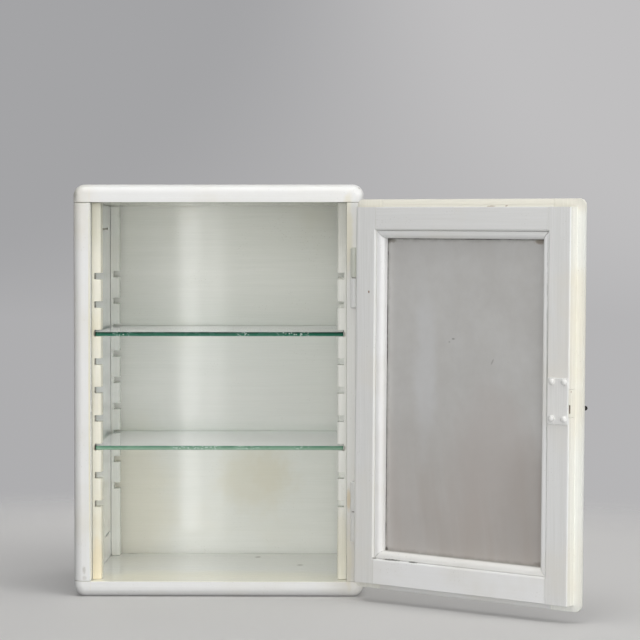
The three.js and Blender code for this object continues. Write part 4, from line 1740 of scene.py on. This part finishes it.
FINISHES: tuple[Finish, ...] = (
    Enamel("case_across", CASE, Strokes.ALONG_X, dust=0.5, blemishes=CASE_MARKS),
    Enamel("case_upright", CASE, Strokes.ALONG_Z, blemishes=CASE_MARKS),
    # The right side is painted greyer than the rest of the case: painted shade, where the open door
    # shades it.
    Enamel(
        "case_right_painted_shade", Coats.of((235, 235, 231), (229, 228, 223), (228, 224, 213)),
        Strokes.ALONG_Z, blemishes=CASE_MARKS),
    # The ceiling inside is painted darker and yellower than the other inside walls: painted shade, as it
    # faces down.
    Enamel(
        "inside_top_board", Coats.of((225, 225, 210), (220, 219, 201), (217, 213, 189)),
        Strokes.ALONG_X, INSIDE_AGE, gloss=INSIDE_GLOSS),
    Enamel(
        "inside_bottom_board", WALL,
        Strokes.ALONG_X, INSIDE_AGE, gloss=INSIDE_GLOSS, blemishes=FLOOR_STAINS_AND_LIGHT),
    # The left wall inside is tinted bluish: painted light, for the cool light that falls on it.
    Enamel(
        "inside_left_side", Coats.of((252, 254, 254), (250, 252, 252), (247, 249, 245)),
        Strokes.ALONG_Z, INSIDE_AGE, gloss=INSIDE_GLOSS, blemishes=LEFT_WALL_MARKS),
    Enamel("inside_right_side", WALL, Strokes.ALONG_Z, INSIDE_AGE, gloss=INSIDE_GLOSS),
    Enamel(
        "inside_back", Coats.of((246, 247, 241), (237, 239, 232), (238, 236, 222)),
        Strokes.ALONG_X, INSIDE_AGE, gloss=BACK_GLOSS, relief=0.00003, lump=0.0,
        blemishes=BACK_STAINS_AND_SHADE),
    Enamel(
        "front_right_ladder", Coats.of((240, 240, 233), (234, 234, 225), (233, 231, 218)),
        Strokes.ALONG_Z, gloss=LADDER_GLOSS, blemishes=LADDER_STAINS_AND_SHADE),
    Enamel(
        "front_left_ladder", Coats.of((238, 235, 220), (233, 229, 209), (228, 219, 190)),
        Strokes.ALONG_Z, gloss=LADDER_GLOSS, blemishes=LADDER_STAINS_AND_SHADE),
    Enamel(
        "rear_ladder", Coats.of((246, 247, 241), (241, 242, 235), (238, 236, 222)),
        Strokes.ALONG_Z, gloss=LADDER_GLOSS, blemishes=LADDER_STAINS_AND_SHADE),
    # Deep ends of the front left ladder's notches: painted shade, with some dirt, in dark brown-grey
    Enamel(
        "notch_end", Coats.of((132, 126, 111), (106, 100, 87), (86, 78, 65)),
        Strokes.ALONG_Y, NOTCH_AGE, blemishes=NOTCH_SHADE),
    Enamel("door_front_across", DOOR, Strokes.DOOR_ACROSS),
    Enamel("door_front_upright", DOOR, Strokes.DOOR_UPRIGHT),
    Enamel("door_inner_across", DOOR, Strokes.DOOR_ACROSS, blemishes=INNER_STAINS_AND_SHADE),
    Enamel(
        "door_inner_upright", DOOR,
        Strokes.DOOR_UPRIGHT, streak=0.9, relief=0.0002, blemishes=INNER_STAINS_AND_SHADE),
    # The bottom rail's inner face takes the whiter bead paint: painted light, as it catches more light
    # from below than the stiles and top rail.
    Enamel("door_inner_foot_lit", BEAD, Strokes.DOOR_ACROSS, blemishes=INNER_STAINS_AND_SHADE),
    Enamel(
        "door_step", Coats.of((238, 238, 230), (236, 235, 226), (236, 232, 218)),
        Strokes.DOOR_UPRIGHT, gloss=EDGE_GLOSS, blemishes=STEP_MARKS),
    Enamel("door_lip", LIP, Strokes.DOOR_UPRIGHT, gloss=EDGE_GLOSS, blemishes=LIP_MARKS),
    Enamel("door_lip_across", LIP, Strokes.DOOR_ACROSS, gloss=EDGE_GLOSS, blemishes=LIP_MARKS),
    Enamel("bead_across", DOOR, Strokes.DOOR_ACROSS, gloss=BEAD_GLOSS, blemishes=INNER_STAINS_AND_SHADE),
    # The bottom bead is painted whiter than the other beads: painted light on its upward face.
    Enamel(
        "bead_foot_lit", Coats.of((255, 254, 250), (252, 251, 246), (243, 241, 235)),
        Strokes.DOOR_ACROSS, gloss=FOOT_GLOSS, blemishes=INNER_STAINS_AND_SHADE),
    # The cove is painted whiter than the step: a painted highlight along the cove.
    Enamel(
        "door_cove_painted_highlight", Coats.of((255, 254, 247), (253, 252, 243), (236, 232, 218)),
        Strokes.DOOR_UPRIGHT, gloss=COVE_GLOSS, blemishes=STEP_MARKS),
    Enamel("bead_upright", BEAD, Strokes.DOOR_UPRIGHT, gloss=BEAD_GLOSS, blemishes=INNER_STAINS_AND_SHADE),
    Enamel(
        "hardware", Coats.of((239, 239, 237), (239, 239, 237), (238, 237, 233)),
        Strokes.DOOR_UPRIGHT, streak=0.3, gloss=EDGE_GLOSS, relief=0.00005),
    # The upper hinge's door half is painted greyer and greener than the other halves: painted shade on
    # the upper knuckle.
    Enamel(
        "hinge_painted_shade", Coats.of((220, 222, 212), (212, 213, 202), (204, 202, 186)),
        Strokes.DOOR_UPRIGHT),
    ClearGlass(),
    # The lower shelf's edge is painted paler than the upper shelf's: painted light.
    GreenEdge("upper_shelf_edge", UPPER_SHELF, srgb(2, 54, 38), srgb(34, 112, 86)),
    GreenEdge("lower_shelf_edge", LOWER_SHELF, srgb(82, 133, 107), srgb(144, 176, 152)),
    CloudedPane(),
    Clouded("plain_steel", srgb(176, 172, 166), srgb(128, 112, 96)),
    Clouded("rusty_bolt", srgb(104, 86, 70), srgb(66, 48, 36), metal=0.3),
    Clouded(
        "black_knob", srgb(22, 21, 21), srgb(46, 44, 42), metal=0.0,
        clouds=(120.0, 0.45, 0.75), gloss=(0.24, 0.42)),
)


def main() -> None:
    """Build the cabinet's looks in order and report each piece."""
    logging.basicConfig(level=logging.INFO, format="%(name)s: %(message)s")
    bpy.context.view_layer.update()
    effects = Effects()
    paints = {finish.name: finish.build(effects) for finish in FINISHES}
    Studio().build()
    for group in (Case(), Shelves(), Door(), Ironwork()):
        group.build()
        group.dress(paints)
        log.info("%s is dressed", type(group).__name__)
    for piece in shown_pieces():
        log.info("piece %s, %d faces", piece.name, len(piece.data.polygons))


if __name__ == "__main__":
    main()
